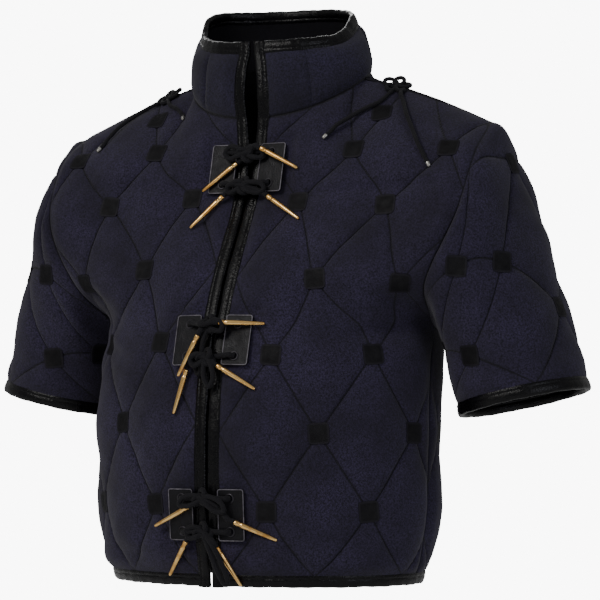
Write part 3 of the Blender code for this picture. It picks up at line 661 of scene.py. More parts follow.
    def front_grid(self, side: Side) -> np.ndarray:
        """One front's lattice, its columns counted from the centre front.

        Args:
            side: Which front.

        Returns:
            The lattice's points, in rows from the hem to the neck.
        """
        closed = self.binding_width + self.front_gap
        edges = [closed] * (len(self.front) - 1)
        edges += [closed + 0.0022, self.binding_width + self.neck_gap * 0.85]
        lift = 0.0 if side is Side.LEFT else 0.5
        grid = self.half_panel(self.front, self.neck_front, edges, lift)
        return grid * np.array([side.value, 1.0, 1.0])

    def back_grid(self) -> np.ndarray:
        """The back's lattice, its columns counted from the wearer's right side seam."""
        half = self.half_panel(self.back, self.neck_back, [0.0] * (len(self.back) + 1), 0.0)
        return np.concatenate([half[:, :0:-1] * np.array([-1.0, 1.0, 1.0]), half], axis=1)

    def sleeve_grid(self, side: Side) -> np.ndarray:
        """One sleeve's rings, its columns counted from the shoulder down the front.

        Args:
            side: The wearer's side.

        Returns:
            Points in rings from armhole to cuff.
        """
        front, back = self.front_grid(side), self.back_grid()
        seam = -1 if side is Side.LEFT else 0
        down = [front[j, -1] for j in range(self.rows, self.underarm - 1, -1)]
        loop = np.array(down + [back[j, seam] for j in range(self.underarm + 1, self.rows)])
        lean = (math.cos(self.cuff_lean), math.sin(self.cuff_lean))
        rings = []
        for k in range(self.sleeve_rows + 1):
            t = k / self.sleeve_rows
            ring = []
            for c, start in enumerate(loop):
                turn = 2 * math.pi * c / len(loop)
                top = (1 + math.cos(turn)) / 2
                across = self.cuff_radius * math.cos(turn)
                end = np.array([(self.cuff_centre[0] + lean[0] * across) * side.value,
                                self.cuff_centre[1] - self.cuff_radius * 1.02 * math.sin(turn),
                                self.cuff_centre[2] + lean[1] * across])
                reach = float(np.linalg.norm(end - start))
                leave = np.array([side.value * (0.80 - 0.15 * top), -0.18 * math.sin(turn),
                                  -0.62 - 0.30 * top])
                leave *= reach * (0.75 - 0.30 * top) / np.linalg.norm(leave)
                arrive = np.array([side.value * (0.20 + 0.20 * top), 0.0, -0.98]) * reach * 0.9
                ring.append(bent(t, start, leave, end, arrive))
            rings.append(ring)
        return np.array(rings)

    def collar_grid(self) -> np.ndarray:
        """The collar's rings, from the wearer's right front round the back to the left.

        Returns:
            The lattice's points, in rows from the neck up.
        """
        n = self.neck_columns
        base = np.concatenate([self.front_grid(Side.RIGHT)[-1, :n + 1],
                               self.back_grid()[-1, self.columns - n + 1:self.columns + n],
                               self.front_grid(Side.LEFT)[-1, n::-1]])
        grid = [base]
        for up, half, front, back, front_z, left_z, right_z, back_z in self.rings:
            gap = self.binding_width + self.neck_gap * (1.0 - 0.75 * up ** 3)
            ahead = base[:, 1] < 0
            middle = np.where(ahead, self.neck_front[0], self.neck_back[0])
            share = np.clip(base[:, 1] / middle, 0.0, 1.0)
            lean = self.collar_lean * up * np.where(ahead, 1.0 - share, 1.0)
            x = base[:, 0] * half / self.collar_half - lean
            x[0], x[-1] = math.copysign(gap, base[0, 0]), math.copysign(gap, base[-1, 0])
            right = base[:, 0] < 0
            side_z = np.where(right, right_z, left_z)
            tall = np.where(ahead, front_z, back_z)
            top_round = np.where(ahead, 0.62, np.where(right, 0.30, 0.65))
            bend = share ** (self.neck_round + (top_round - self.neck_round) * up)
            grid.append(np.stack([x, np.where(ahead, front, back) * share,
                                  side_z + (tall - side_z) * bend], axis=1))
        return np.array(grid)


CUT = Cut()
TIES = (-0.108, -0.304, -0.497)
PLATE = (0.032, 0.058, 0.002)
EYELET_X = 0.0012            # from a plate's middle, towards the centre front
EYELET_RADIUS = 0.0042
EYELET_RISE = 0.0185
LACE_RADIUS = 0.0030
SHOULDER_RADIUS = 0.0024
CORD_SIDES = 14


# Meshes shared by the soft pieces


def dress(made: bpy.types.Object, slot: str, solid: str = "") -> bpy.types.Object:
    """Hand a finished piece to the garment's body and report it.

    Args:
        made: The piece.
        slot: A material slot's name, which is only logged.
        solid: The solid that it takes the place of, if any.

    Returns:
        The piece.
    """
    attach(made, "root")
    if solid:
        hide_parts(solid)
    LOG.info("%s: %d faces, %s", made.name, len(made.data.polygons), slot)
    return made


def make_object(name: str, verts: np.ndarray, faces: list, corners: np.ndarray,
                finishes: Sequence[bpy.types.Material], marks: np.ndarray | None = None,
                angle: float = 55.0) -> bpy.types.Object:
    """Turn points and faces into a smooth-shaded piece.

    Args:
        name: The piece's name.
        verts: Its points.
        faces: Its faces, as lists of point numbers.
        corners: A lattice coordinate for each corner of each face.
        finishes: Its materials.
        marks: The material number of each face, or none.
        angle: Edges sharper than this, in degrees, stay sharp.

    Returns:
        The piece, linked to the scene.
    """
    data = bpy.data.meshes.new(name)
    data.from_pydata(verts.tolist(), [], faces)
    layer = data.uv_layers.new(name="lattice")
    layer.data.foreach_set("uv", np.asarray(corners, dtype=np.float32).ravel())
    for finish in finishes:
        data.materials.append(finish)
    if marks is not None:
        data.polygons.foreach_set("material_index", marks.astype(np.int32))
    data.shade_smooth()
    data.set_sharp_from_angle(angle=math.radians(angle))
    data.update()
    made = bpy.data.objects.new(name, data)
    bpy.context.scene.collection.objects.link(made)
    return made


def shell(name: str, outer: np.ndarray, inner: np.ndarray, step: int, diagonal: np.ndarray,
          counts: tuple[np.ndarray, np.ndarray], flip: int, wrap: bool,
          finishes: Sequence[bpy.types.Material]) -> bpy.types.Object:
    """Close a wall between two grids of one size.

    Args:
        name: The piece's name.
        outer: The outer grid.
        inner: The inner grid.
        step: Grid steps to a lattice cell.
        diagonal: For each grid cell, whether its diagonal runs from its first corner.
        counts: The quilting's column and row of each point.
        flip: 1 where columns cross rows outwards, or else -1.
        wrap: Whether the last column meets the first.
        finishes: The outer and the inner material.

    Returns:
        The piece.
    """
    rows, columns = outer.shape[:2]
    count = rows * columns
    j, i = np.meshgrid(np.arange(rows - 1), np.arange(columns if wrap else columns - 1),
                       indexing="ij")
    cells = {"a": (j, i), "b": (j, i + 1), "c": (j + 1, i + 1), "d": (j + 1, i)}
    number = {k: (v[0] * columns + v[1] % columns).ravel() for k, v in cells.items()}
    start = np.stack([count_of[:j.shape[0], :j.shape[1]] for count_of in counts], axis=-1)
    place = {k: (start + np.stack([v[1] - i, v[0] - j], axis=-1) / step).reshape(-1, 2)
             for k, v in cells.items()}
    pick = diagonal.ravel()
    faces, corners, marks = [], [], []

    def add(order: str, shift: Sequence[int], where: np.ndarray, mark: int) -> None:
        """Add one face for each chosen cell.

        Args:
            order: Letters of the cell's corners that a face joins, in turn.
            shift: What is added to each corner's number.
            where: The chosen cells.
            mark: The faces' material number.
        """
        way = slice(None) if flip > 0 else slice(None, None, -1)
        picked = np.stack([number[k][where] + s for k, s in zip(order, shift)], axis=1)[:, way]
        spots = np.stack([place[k][where] for k in order], axis=1)[:, way]
        faces.extend(picked.tolist())
        corners.append(spots.reshape(-1, 2))
        marks.append(np.full(len(picked), mark))

    for order, where in (("abc", pick), ("acd", pick), ("abd", ~pick), ("bcd", ~pick)):
        add(order, (0, 0, 0), where, 0)
        add(order[::-1], (count, count, count), where, 1)
    rim = (0, 0, count, count)
    add("baab", rim, (j == 0).ravel(), 0)
    add("dccd", rim, (j == rows - 2).ravel(), 0)
    if not wrap:
        add("cbbc", rim, (i == columns - 2).ravel(), 0)
        add("adda", rim, (i == 0).ravel(), 0)
    verts = np.concatenate([outer.reshape(-1, 3), inner.reshape(-1, 3)])
    return make_object(name, verts, faces, np.concatenate(corners), finishes,
                       np.concatenate(marks))


def sweep(name: str, middles: np.ndarray, sideways: np.ndarray, forwards: np.ndarray,
          profile: Callable[[int], np.ndarray], wrap: bool,
          finish: bpy.types.Material) -> bpy.types.Object:
    """Sweep a closed outline along a line of points.

    Args:
        name: The piece's name.
        middles: The line.
        sideways: The outline's first axis at each point.
        forwards: The outline's second axis at each point.
        profile: Gives the outline's points for a ring number.
        wrap: Whether the line is a loop.
        finish: The material.

    Returns:
        The piece.
    """
    count, sides = len(middles), len(profile(0))
    rings = []
    for n in range(count):
        outline = profile(n)
        rings.append(middles[n] + outline[:, :1] * sideways[n] + outline[:, 1:] * forwards[n])
    verts = np.concatenate(rings)
    closed = np.concatenate([middles, middles[:1]]) if wrap else middles
    far = walked(closed)
    faces, corners = [], []
    for n in range(count if wrap else count - 1):
        for k in range(sides):
            m, after = (k + 1) % sides, (n + 1) % count
            faces.append([n * sides + k, n * sides + m, after * sides + m, after * sides + k])
            corners += [(k / sides, far[n]), ((k + 1) / sides, far[n]),
                        ((k + 1) / sides, far[n + 1]), (k / sides, far[n + 1])]
    if not wrap:
        for n, order in ((0, range(sides - 1, -1, -1)), (count - 1, range(sides))):
            faces.append([n * sides + k for k in order])
            corners += [(k / sides, far[n]) for k in order]
    made = make_object(name, verts, faces, np.array(corners), [finish])
    mesh = bmesh.new()
    mesh.from_mesh(made.data)
    bmesh.ops.recalc_face_normals(mesh, faces=mesh.faces)
    mesh.to_mesh(made.data)
    mesh.free()
    return made


def surface_tree(piece: bpy.types.Object) -> BVHTree:
    """A search tree of a piece's faces.

    Args:
        piece: The piece.

    Returns:
        The tree, in the piece's own frame.
    """
    data = piece.data
    verts = np.empty(len(data.vertices) * 3, dtype=np.float32)
    data.vertices.foreach_get("co", verts)
    return BVHTree.FromPolygons(verts.reshape(-1, 3).tolist(),
                                [list(p.vertices) for p in data.polygons])


# Quilted cloth


@dataclass(frozen=True)
class Crease:
    """A soft fold on the body, between two places seen from in front, in metres."""

    start: tuple[float, float]
    end: tuple[float, float]
    depth: float
    width: float

    def height(self, points: np.ndarray) -> np.ndarray:
        """How far the fold moves the cloth out at each point.

        Args:
            points: Points of the lattice.

        Returns:
            The heights, in metres.
        """
        start, end = np.array(self.start), np.array(self.end)
        flat = points[..., [0, 2]]
        line = end - start
        length = float(np.linalg.norm(line))
        ahead = np.clip(((flat - start) @ line) / length**2, 0.0, 1.0)
        away = flat - (start + ahead[..., None] * line)
        side = (away @ np.array([-line[1], line[0]])) / length
        far = np.linalg.norm(away, axis=-1) / self.width
        ridge = 0.55 * np.exp(-((side / self.width - 1.5) / 0.9) ** 2) * (far < 4)
        taper = np.sin(math.pi * (0.12 + 0.76 * ahead))
        return self.depth * taper * (ridge - np.exp(-far**2))


FRONT_CREASES = (
    Crease((0.074, -0.139), (0.242, -0.131), 0.0022, 0.007),
    Crease((0.150, -0.236), (0.200, -0.268), 0.0030, 0.010),
    Crease((0.140, -0.300), (0.196, -0.290), 0.0028, 0.009),
    Crease((0.186, -0.300), (0.200, -0.400), 0.0026, 0.010),
    Crease((-0.200, -0.300), (-0.130, -0.322), 0.0030, 0.009),
    Crease((-0.220, -0.240), (-0.165, -0.262), 0.0028, 0.009),
    Crease((-0.185, -0.330), (-0.198, -0.420), 0.0024, 0.010),
    Crease((-0.060, -0.130), (-0.190, -0.122), 0.0018, 0.009),
    Crease((0.050, -0.545), (0.160, -0.520), 0.0020, 0.010),
    Crease((-0.150, -0.540), (-0.060, -0.552), 0.0018, 0.010),
)
BACK_CREASES = (
    Crease((0.130, -0.315), (0.198, -0.296), 0.0028, 0.010),
    Crease((-0.198, -0.296), (-0.130, -0.312), 0.0028, 0.010),
    Crease((0.120, -0.105), (0.230, -0.150), 0.0024, 0.010),
    Crease((-0.225, -0.150), (-0.120, -0.108), 0.0024, 0.010),
    Crease((-0.110, -0.500), (0.020, -0.490), 0.0018, 0.012),
)


def to_nearest(value: np.ndarray) -> np.ndarray:
    """How far a count of cells is from the nearest quilting line of its set."""
    period = 2 * CUT.diamond
    off = np.mod(value, period)
    return np.minimum(off, period - off)


@dataclass
class Cloth:
    """A padded canvas piece with its lining: lattice in, wall out."""

    solid: str
    grid: np.ndarray
    flip: int
    step: int = 8
    wrap: bool = False
    creases: tuple[Crease, ...] = ()
    sewn: ClassVar[tuple] = ()
    base: np.ndarray = field(init=False)
    normal: np.ndarray = field(init=False)
    u: np.ndarray = field(init=False)
    v: np.ndarray = field(init=False)

    def __post_init__(self) -> None:
        """Refine the lattice and find its normals."""
        self.base = refine(refine(self.grid, self.step, 0), self.step, 1, self.wrap)
        across, up = tangents(self.base, self.wrap, 1), tangents(self.base, False)
        self.normal = unit(np.cross(across, up)) * self.flip
        rows, columns = self.base.shape[:2]
        self.u, self.v = np.meshgrid(np.arange(columns) / self.step, np.arange(rows) / self.step)

    def column(self) -> np.ndarray:
        """Columns counted from where the quilting is centred."""
        return self.u

    def quilt_row(self) -> np.ndarray:
        """Rows counted from where the quilting is centred."""
        return self.v

    def pillow(self) -> np.ndarray:
        """0 on a quilting line and 1 in the middle of a diamond."""
        first, second = self.to_lines()
        half = math.pi / 2 / CUT.diamond
        return np.sqrt(np.sin(half * first) * np.sin(half * second))

    def to_lines(self) -> tuple[np.ndarray, np.ndarray]:
        """Distance in cells to the nearer line of each of the two sets."""
        return (to_nearest(self.column() - self.quilt_row()),
                to_nearest(self.column() + self.quilt_row()))

    def diagonal(self) -> np.ndarray:
        """Whether a grid cell's diagonal runs from its first corner, beside the nearer line.

        Returns:
            A flag for each cell.
        """
        count = self.base.shape[1] - (0 if self.wrap else 1)
        i = np.floor(self.column()[:-1, :count] + 1e-6)
        j = np.floor(self.quilt_row()[:-1, :count] + 1e-6)
        return to_nearest(i - j) <= to_nearest(i + j + 1)

    def share(self) -> np.ndarray:
        """How much of the padding each point has."""
        raise NotImplementedError

    def seams(self) -> np.ndarray:
        """Distance in cells to the nearest sewn edge."""
        raise NotImplementedError

    def puckers(self) -> np.ndarray:
        """The small ripples that a tight row of stitches pulls up beside it.

        Returns:
            The heights, in metres.
        """
        first, second = self.to_lines()
        cell = math.hypot(*CANVAS.cell_mm)
        total = np.zeros_like(first)
        for near, sign in ((first, 1), (second, -1)):
            ahead = (self.column() + sign * self.quilt_row()) * cell / 2
            wave = np.sin(ahead * 2 * math.pi / 11.0 + 1.7 * np.sin(ahead / 23.0))
            total += 0.00042 * wave * np.exp(-near / 0.35) * np.minimum(1.0, near / 0.12)
        return total

    def drift(self) -> np.ndarray:
        """Slow unevenness of hand-filled padding and worn cloth.

        Returns:
            The heights, in metres.
        """
        x, y, z = (self.base[..., k] for k in range(3))
        wave = (np.sin(41 * x + 3.0 * np.sin(17 * z)) * np.sin(37 * z + 2.0 * np.sin(23 * x))
                + 0.6 * np.sin(83 * z + 29 * y) * np.sin(71 * x + 1.3)
                + 0.35 * np.sin(190 * x + 40 * z) * np.sin(170 * z + 61 * y))
        return 0.0009 * wave

    def height(self) -> np.ndarray:
        """How far the outer face stands out from the lattice.

        Returns:
            The heights, in metres.
        """
        share = self.share()
        soft = np.clip(share * 1.4, 0.0, 1.0)
        rise = CUT.puff * self.pillow() * share + (self.puckers() + self.drift()) * soft
        for crease in self.creases:
            rise += crease.height(self.base) * soft
        return rise - 0.0011 * np.exp(-(self.seams() / 0.11) ** 2)

    def build(self, finish: bpy.types.Material, lining: bpy.types.Material) -> bpy.types.Object:
        """Make the wall and put it in place of its solid.

        Args:
            finish: The outer material.
            lining: The inner material.

        Returns:
            The piece.
        """
        outer = self.base + self.normal * self.height()[..., None]
        inner = self.base - self.normal * CUT.wall
        for edge, beside in self.sewn:
            for grid in (outer, inner):
                grid[edge] += unit(grid[edge] - grid[beside]) * SEAM_TUCK
        made = shell(f"{self.solid}_cloth", outer, inner, self.step, self.diagonal(),
                     (self.column(), self.quilt_row()), self.flip, self.wrap, [finish, lining])
        mark = made.data.attributes.new("seam", "FLOAT", "POINT")
        mark.data.foreach_set("value", np.tile(self.seams().ravel(), 2).astype(np.float32))
        return dress(made, "padded_canvas", self.solid)

    def node_point(self, i: int, j: int) -> tuple[Vector, Vector]:
        """A lattice point and its normal."""
        at = (j * self.step, (i * self.step) % self.base.shape[1])
        return Vector(self.base[at]), Vector(self.normal[at])

    def nearest(self, place: tuple[float, float, float]) -> tuple[Vector, Vector]:
        """The grid point nearest a place given on the wearer's left, and its normal.

        Args:
            place: The place, in metres.

        Returns:
            The point and its normal.
        """
        sign = np.sign(self.base[0, -1, 0])
        away = np.linalg.norm(self.base - np.array(place) * np.array([sign, 1.0, 1.0]), axis=-1)
        at = np.unravel_index(int(np.argmin(away)), away.shape)
        return Vector(self.base[at]), Vector(self.normal[at])


def rim_normals(cloth: Cloth, away: np.ndarray) -> None:
    """Turn a piece's normals to the armhole's own, above the underarm and beside its edge.

    Args:
        cloth: The piece.
        away: How many cells each grid point is from the armhole.
    """
    points = cloth.base
    middle = points * np.array([1.0, 0.0, 0.0]) + np.array([0.0, *ARMHOLE_MIDDLE])
    out = unit(points - middle)
    weight = ((1 - smoothstep(0.0, 1.0, away)) * (cloth.v >= CUT.underarm))[..., None]
    cloth.normal = unit(cloth.normal * (1 - weight) + out * weight)


def near_underarm(columns_away: np.ndarray, rows_away: np.ndarray) -> np.ndarray:
    """Padding is pressed flat where body and sleeve fold together."""
    return np.minimum(1.0, np.hypot(columns_away, rows_away) / 4) ** 2


def eased(distance: np.ndarray) -> np.ndarray:
    """Padding is flat at an edge and full one cell in."""
    return np.sin(math.pi / 2 * np.clip(distance, 0.0, 1.0))


ALL = slice(None)
ARMHOLE_MIDDLE = (-0.002, -0.172)
SEAM_TUCK = 0.0013           # how far a sewn edge is tucked under its neighbour
FIRST_ROW, LAST_ROW = ((0, ALL), (1, ALL)), ((-1, ALL), (-2, ALL))
FIRST_COLUMN, LAST_COLUMN = ((ALL, 0), (ALL, 1)), ((ALL, -1), (ALL, -2))


@dataclass
class Front(Cloth):
    """One front, whose quilting is counted from the centre front."""

    sewn: ClassVar[tuple] = (LAST_ROW, LAST_COLUMN)

    def __post_init__(self) -> None:
        """Turn the normals at the armhole."""
        super().__post_init__()
        rim_normals(self, CUT.columns - self.u)

    def share(self) -> np.ndarray:
        """Padding is pressed at the edges, the underarm and beneath the lacing plates.

        Returns:
            The share of full padding at each grid point.
        """
        i, j = self.u, self.v
        flat = eased(i) * eased(CUT.columns - i) * eased(j) * eased(CUT.rows - j)
        x, z = np.abs(self.base[..., 0]), self.base[..., 2]
        near = np.min([np.abs(z - tie) for tie in TIES], axis=0)
        plate = (1 - smoothstep(0.050, 0.064, x)) * (1 - smoothstep(0.032, 0.044, near))
        side = near_underarm(CUT.columns - i, j - CUT.underarm)
        return flat * side * (1 - 0.78 * plate)

    def seams(self) -> np.ndarray:
        """The side seam, armhole, shoulder seam and neckline."""
        return np.minimum(CUT.columns - self.u, CUT.rows - self.v)


@dataclass
class Back(Cloth):
    """The back, whose quilting is counted from its middle."""

    sewn: ClassVar[tuple] = (LAST_ROW, FIRST_COLUMN, LAST_COLUMN)

    def __post_init__(self) -> None:
        """Turn the normals at both armholes."""
        super().__post_init__()
        rim_normals(self, CUT.columns - np.abs(self.column()))

    def column(self) -> np.ndarray:
        """Columns counted from the middle of the back."""
        return self.u - CUT.columns

    def share(self) -> np.ndarray:
        """Padding is pressed at the edges and the underarms."""
        away = CUT.columns - np.abs(self.column())
        side = near_underarm(away, self.v - CUT.underarm)
        return eased(away) * eased(self.v) * eased(CUT.rows - self.v) * side

    def seams(self) -> np.ndarray:
        """The side seams, armholes, shoulder seams and neckline."""
        return np.minimum(CUT.columns - np.abs(self.column()), CUT.rows - self.v)


@dataclass
class Sleeve(Cloth):
    """One sleeve, a tube from armhole to cuff."""

    sewn: ClassVar[tuple] = (FIRST_ROW,)

    def column(self) -> np.ndarray:
        """Columns counted both ways from the shoulder."""
        count = self.grid.shape[1]
        return np.where(self.u <= count / 2, self.u, self.u - count)

    def quilt_row(self) -> np.ndarray:
        """Rows counted so that a patch falls below the shoulder."""
        return self.v + CUT.diamond

    def share(self) -> np.ndarray:
        """Padding is pressed at both ends and thin beneath the arm.

        Returns:
            The share of full padding at each grid point.
        """
        count = self.grid.shape[1]
        turn = 2 * math.pi * self.u / count
        under = 0.35 + 0.65 * np.sqrt(np.maximum(0.0, (1 + np.cos(turn)) / 2))
        away = count / 2 - np.abs(self.column())
        fold = near_underarm(away, self.v)
        return (eased(self.v) * eased(CUT.sleeve_rows - self.v) * under * fold
                * eased(away + 0.15))

    def seams(self) -> np.ndarray:
        """The armhole and the seam beneath the arm."""
        return np.minimum(self.v, self.grid.shape[1] / 2 - np.abs(self.column()))


@dataclass
class Collar(Cloth):
    """The collar, padded in upright channels."""

    sewn: ClassVar[tuple] = (FIRST_ROW,)
    stitched: tuple[int, ...] = (2, 6, 10, 14, 18)

    def pillow(self) -> np.ndarray:
        """Full in a channel and flat on a line of stitches."""
        furrow = 1 - 0.9 * np.exp(-self.to_stitches() / 0.13)
        return 0.62 * furrow * (0.9 + 0.1 * np.cos(self.u * 1.9))

    def to_stitches(self) -> np.ndarray:
        """Distance in cells to the nearest upright line of stitches."""
        return np.min([np.abs(self.u - n) for n in self.stitched], axis=0)

    def puckers(self) -> np.ndarray:
        """Ripples beside the upright lines of stitches."""
        near = self.to_stitches()
        return 0.0004 * np.sin(self.v * 15.0) * np.exp(-near / 0.3) * np.minimum(1.0, near / 0.1)

    def share(self) -> np.ndarray:
        """Padding is pressed at all four edges."""
        rows, columns = self.grid.shape[0] - 1, self.grid.shape[1] - 1
        ends = eased(self.u * 1.4) * eased((columns - self.u) * 1.4)
        return ends * eased(self.v) * eased(rows - self.v)

    def seams(self) -> np.ndarray:
        """The neckline."""
        return self.v

    def diagonal(self) -> np.ndarray:
        """One way all over."""
        return np.ones((self.base.shape[0] - 1, self.base.shape[1] - 1), dtype=bool)


# Leather edges, patches and plates


@dataclass
class Binding:
    """A strip of leather folded over a cloth edge."""

    name: str
    middles: np.ndarray
    normals: np.ndarray
    hint: np.ndarray
    wrap: bool = False
    seed: int = 1

    def profile(self, ring: int) -> np.ndarray:
        """The folded strip's outline, a little different from ring to ring.

        Args:
            ring: The ring's number.

        Returns:
            Points out from the cloth's edge and across its thickness.
        """
        half, width = CUT.binding_half, CUT.binding_width
        phase = ring * 0.9 + self.seed * 2.4
        wave = 0.00022 * math.sin(phase * 0.31) + 0.00018 * math.sin(phase * 0.83)
        line = ((-0.0014, 0.62), (0.0003, 0.84), (0.0022, 0.93), (0.0030, 0.80), (0.0042, 0.97),
                (0.0070, 1.0), (0.0098, 0.95), (0.0118, 0.75), (0.0129, 0.42), (width, 0.0))
        points = [(d + wave * (d > 0.004), -half * h - wave * 0.5) for d, h in line]
        points += [(d + wave * (d > 0.004), half * h + wave * 0.5) for d, h in line[-2::-1]]
        return np.array(points)

    def build(self, finish: bpy.types.Material) -> bpy.types.Object:
        """Sweep the strip along the edge and put it in place of its solid.

        Args:
            finish: The leather.

        Returns:
            The piece.
        """
        way = unit(np.cross(self.normals, tangents(self.middles, self.wrap)))
        way *= np.sign((way * self.hint).sum(axis=1))[:, None]
        if not self.wrap:
            for n in (0, -1):
                flat = self.hint[n] - self.normals[n] * float(self.hint[n] @ self.normals[n])
                way[n] = unit(flat)
        made = sweep(f"{self.name}_leather", self.middles, way, self.normals, self.profile,
                     self.wrap, finish)
        return dress(made, "black_leather", self.name)


def smooth_normals(normals: np.ndarray, passes: int) -> np.ndarray:
    """Directions that turn gently from one to the next.

    Args:
        normals: Directions along an edge.
        passes: How many times they are averaged.

    Returns:
        The turned directions.
    """
    for _ in range(passes):
        normals = np.concatenate([normals[:1], normals[:-2] + 2 * normals[1:-1] + normals[2:],
                                  normals[-1:]])
        normals = unit(normals)
    return normals


def make_bindings(cloths: dict[str, Cloth], finish: bpy.types.Material) -> None:
    """Bind the hem, the front edges, the collar's top and both cuffs.

    Args:
        cloths: The cloth pieces by name.
        finish: The leather.
    """
    right, left = cloths["front_right"], cloths["front_left"]
    back, collar = cloths["back"], cloths["collar"]
    half = CUT.wall / 2
    points = np.concatenate([right.base[0], back.base[0, 1:-1], left.base[0, ::-1]])
    normals = np.concatenate([right.normal[0], back.normal[0, 1:-1], left.normal[0, ::-1]])
    normals = smooth_normals(normals, 12)
    down = np.tile([0.0, 0.0, -1.0], (len(points), 1))
    Binding("hem_binding", points - normals * half, normals, down, seed=1).build(finish)

    points, normals = collar.base[-1], smooth_normals(collar.normal[-1], 6)
    Binding("collar_binding", points - normals * half, normals, -down[:len(points)],
            seed=2).build(finish)

    for side, cloth, end in ((Side.LEFT, left, -1), (Side.RIGHT, right, 0)):
        points = np.concatenate([cloth.base[:, 0], collar.base[3::3, end]])
        normals = np.concatenate([cloth.normal[:, 0], collar.normal[3::3, end]])
        normals = smooth_normals(normals, 60)
        points = points - normals * half
        more = 4                 # rings past the cloth at each end, over the hem and the collar
        ahead = np.arange(1, more + 1)[:, None] / more * np.array([0.0, 0.0, CUT.binding_width])
        points = np.concatenate([points[0] - ahead[::-1], points, points[-1] + ahead])
        normals = np.concatenate([np.repeat(normals[:1], more, axis=0), normals,
                                  np.repeat(normals[-1:], more, axis=0)])
        inwards = np.tile([-float(side.value), 0.0, 0.0], (len(points), 1))
        Binding(f"front_binding_{side.label}", points, normals, inwards,
                seed=5 + side.value).build(finish)

    for side in Side:
        cloth = cloths[f"sleeve_{side.label}"]
        points, normals = cloth.base[-1], cloth.normal[-1]
        lean = np.array([side.value * math.sin(CUT.cuff_lean), 0.0, -math.cos(CUT.cuff_lean)])
        Binding(f"cuff_binding_{side.label}", points - normals * half, normals,
                np.tile(lean, (len(points), 1)), wrap=True, seed=8 + side.value).build(finish)


@dataclass
class Patches:
    """Small leather squares sewn where the quilting lines cross."""

    size: float = 0.0245
    thick: float = 0.0012
    sunk: float = 0.0012         # how far the underside goes into the cloth
    steps: int = 8
    slack: float = 0.1           # how far a square is sewn off true, in radians
    rng: random.Random = field(default_factory=lambda: random.Random(31))

    def outline(self, a: float, b: float) -> tuple[float, float]:
        """Round a square's corners: a place on the grid from -1 to 1 becomes one on the patch."""
        hollow = 0.03 * (1 - a * a) * (b * b) + 0.03 * (1 - b * b) * (a * a)
        pull = 1 - 0.13 * (a * b) ** 4 - hollow
        return a * pull, b * pull

    def square(self, tree: BVHTree, centre: Vector, normal: Vector,
               turn: float) -> tuple[list[Vector], list[list[int]], list[tuple[float, float]]]:
        """Lay one square on the cloth.

        Args:
            tree: The cloth's faces.
            centre: Where the lines cross.
            normal: The cloth's direction there.
            turn: How far the square is turned in its plane.

        Returns:
            Its points, faces and corner coordinates.
        """
        right = Vector((0.0, 0.0, 1.0)).cross(normal).normalized()
        up = normal.cross(right)
        right, up = (right * math.cos(turn) + up * math.sin(turn),
                     up * math.cos(turn) - right * math.sin(turn))
        n = self.steps
        lifts = np.zeros((n + 1, n + 1))
        flat = {}
        for b in range(n + 1):
            for a in range(n + 1):
                x, y = self.outline(2 * a / n - 1, 2 * b / n - 1)
                flat[a, b] = centre + (right * x + up * y) * self.size / 2
                hit = tree.ray_cast(flat[a, b] + normal * 0.02, -normal, 0.05)[0]
                lifts[b, a] = (hit - flat[a, b]).dot(normal) if hit else 0.0
        floor = lifts.copy()
        for _ in range(6):
            wide = np.pad(lifts, 1, mode="edge")
            mean = (wide[:-2, 1:-1] + wide[2:, 1:-1] + wide[1:-1, :-2] + wide[1:-1, 2:]) / 4
            lifts = np.maximum(mean, floor)
        points, faces, corners = [], [], []
        for level in (0, 1):
            for b in range(n + 1):
                for a in range(n + 1):
                    share = {0: 0.55, 1: 0.7}.get(min(a, n - a, b, n - b), 1.0)
                    lift = lifts[b, a] if level else floor[b, a]
                    rise = self.thick * share if level else -self.sunk
                    points.append(flat[a, b] + normal * (lift + rise))
        count = (n + 1) ** 2
        for b in range(n):
            for a in range(n):
                quad = [b * (n + 1) + a, b * (n + 1) + a + 1, (b + 1) * (n + 1) + a + 1,
                        (b + 1) * (n + 1) + a]
                faces += [[q + count for q in quad], quad[::-1]]
        ring = ([*range(n)] + [b * (n + 1) + n for b in range(n)]
                + [n * (n + 1) + n - a for a in range(n)] + [(n - b) * (n + 1) for b in range(n)])
        for k, first in enumerate(ring):
            second = ring[(k + 1) % len(ring)]
            faces.append([first, second, second + count, first + count])
        for face in faces:
            corners += [((q % count) % (n + 1) / n, (q % count) // (n + 1) / n) for q in face]
        return points, faces, corners

    def build(self, name: str, piece: bpy.types.Object, places: Sequence[tuple[Vector, Vector]],
              finish: bpy.types.Material) -> bpy.types.Object:
        """Lay all the squares of one cloth piece.

        Args:
            name: The new piece's name.
            piece: The cloth that they lie on.
            places: Where they lie and which way the cloth faces.
            finish: The leather.

        Returns:
            The squares as one piece.
        """
        tree = surface_tree(piece)
        verts, faces, corners = [], [], []
        for centre, normal in places:
            turn = self.rng.uniform(-self.slack, self.slack)
            points, quads, marks = self.square(tree, centre, normal, turn)
            faces += [[q + len(verts) for q in quad] for quad in quads]
            verts += points
            corners += marks
        made = make_object(name, np.array(verts), faces, np.array(corners), [finish], angle=75.0)
        return dress(made, "black_leather")


SEAM_CLEAR = 0.9             # cells from a seam, below which a crossing has no patch
PLATE_CLEAR = 0.05


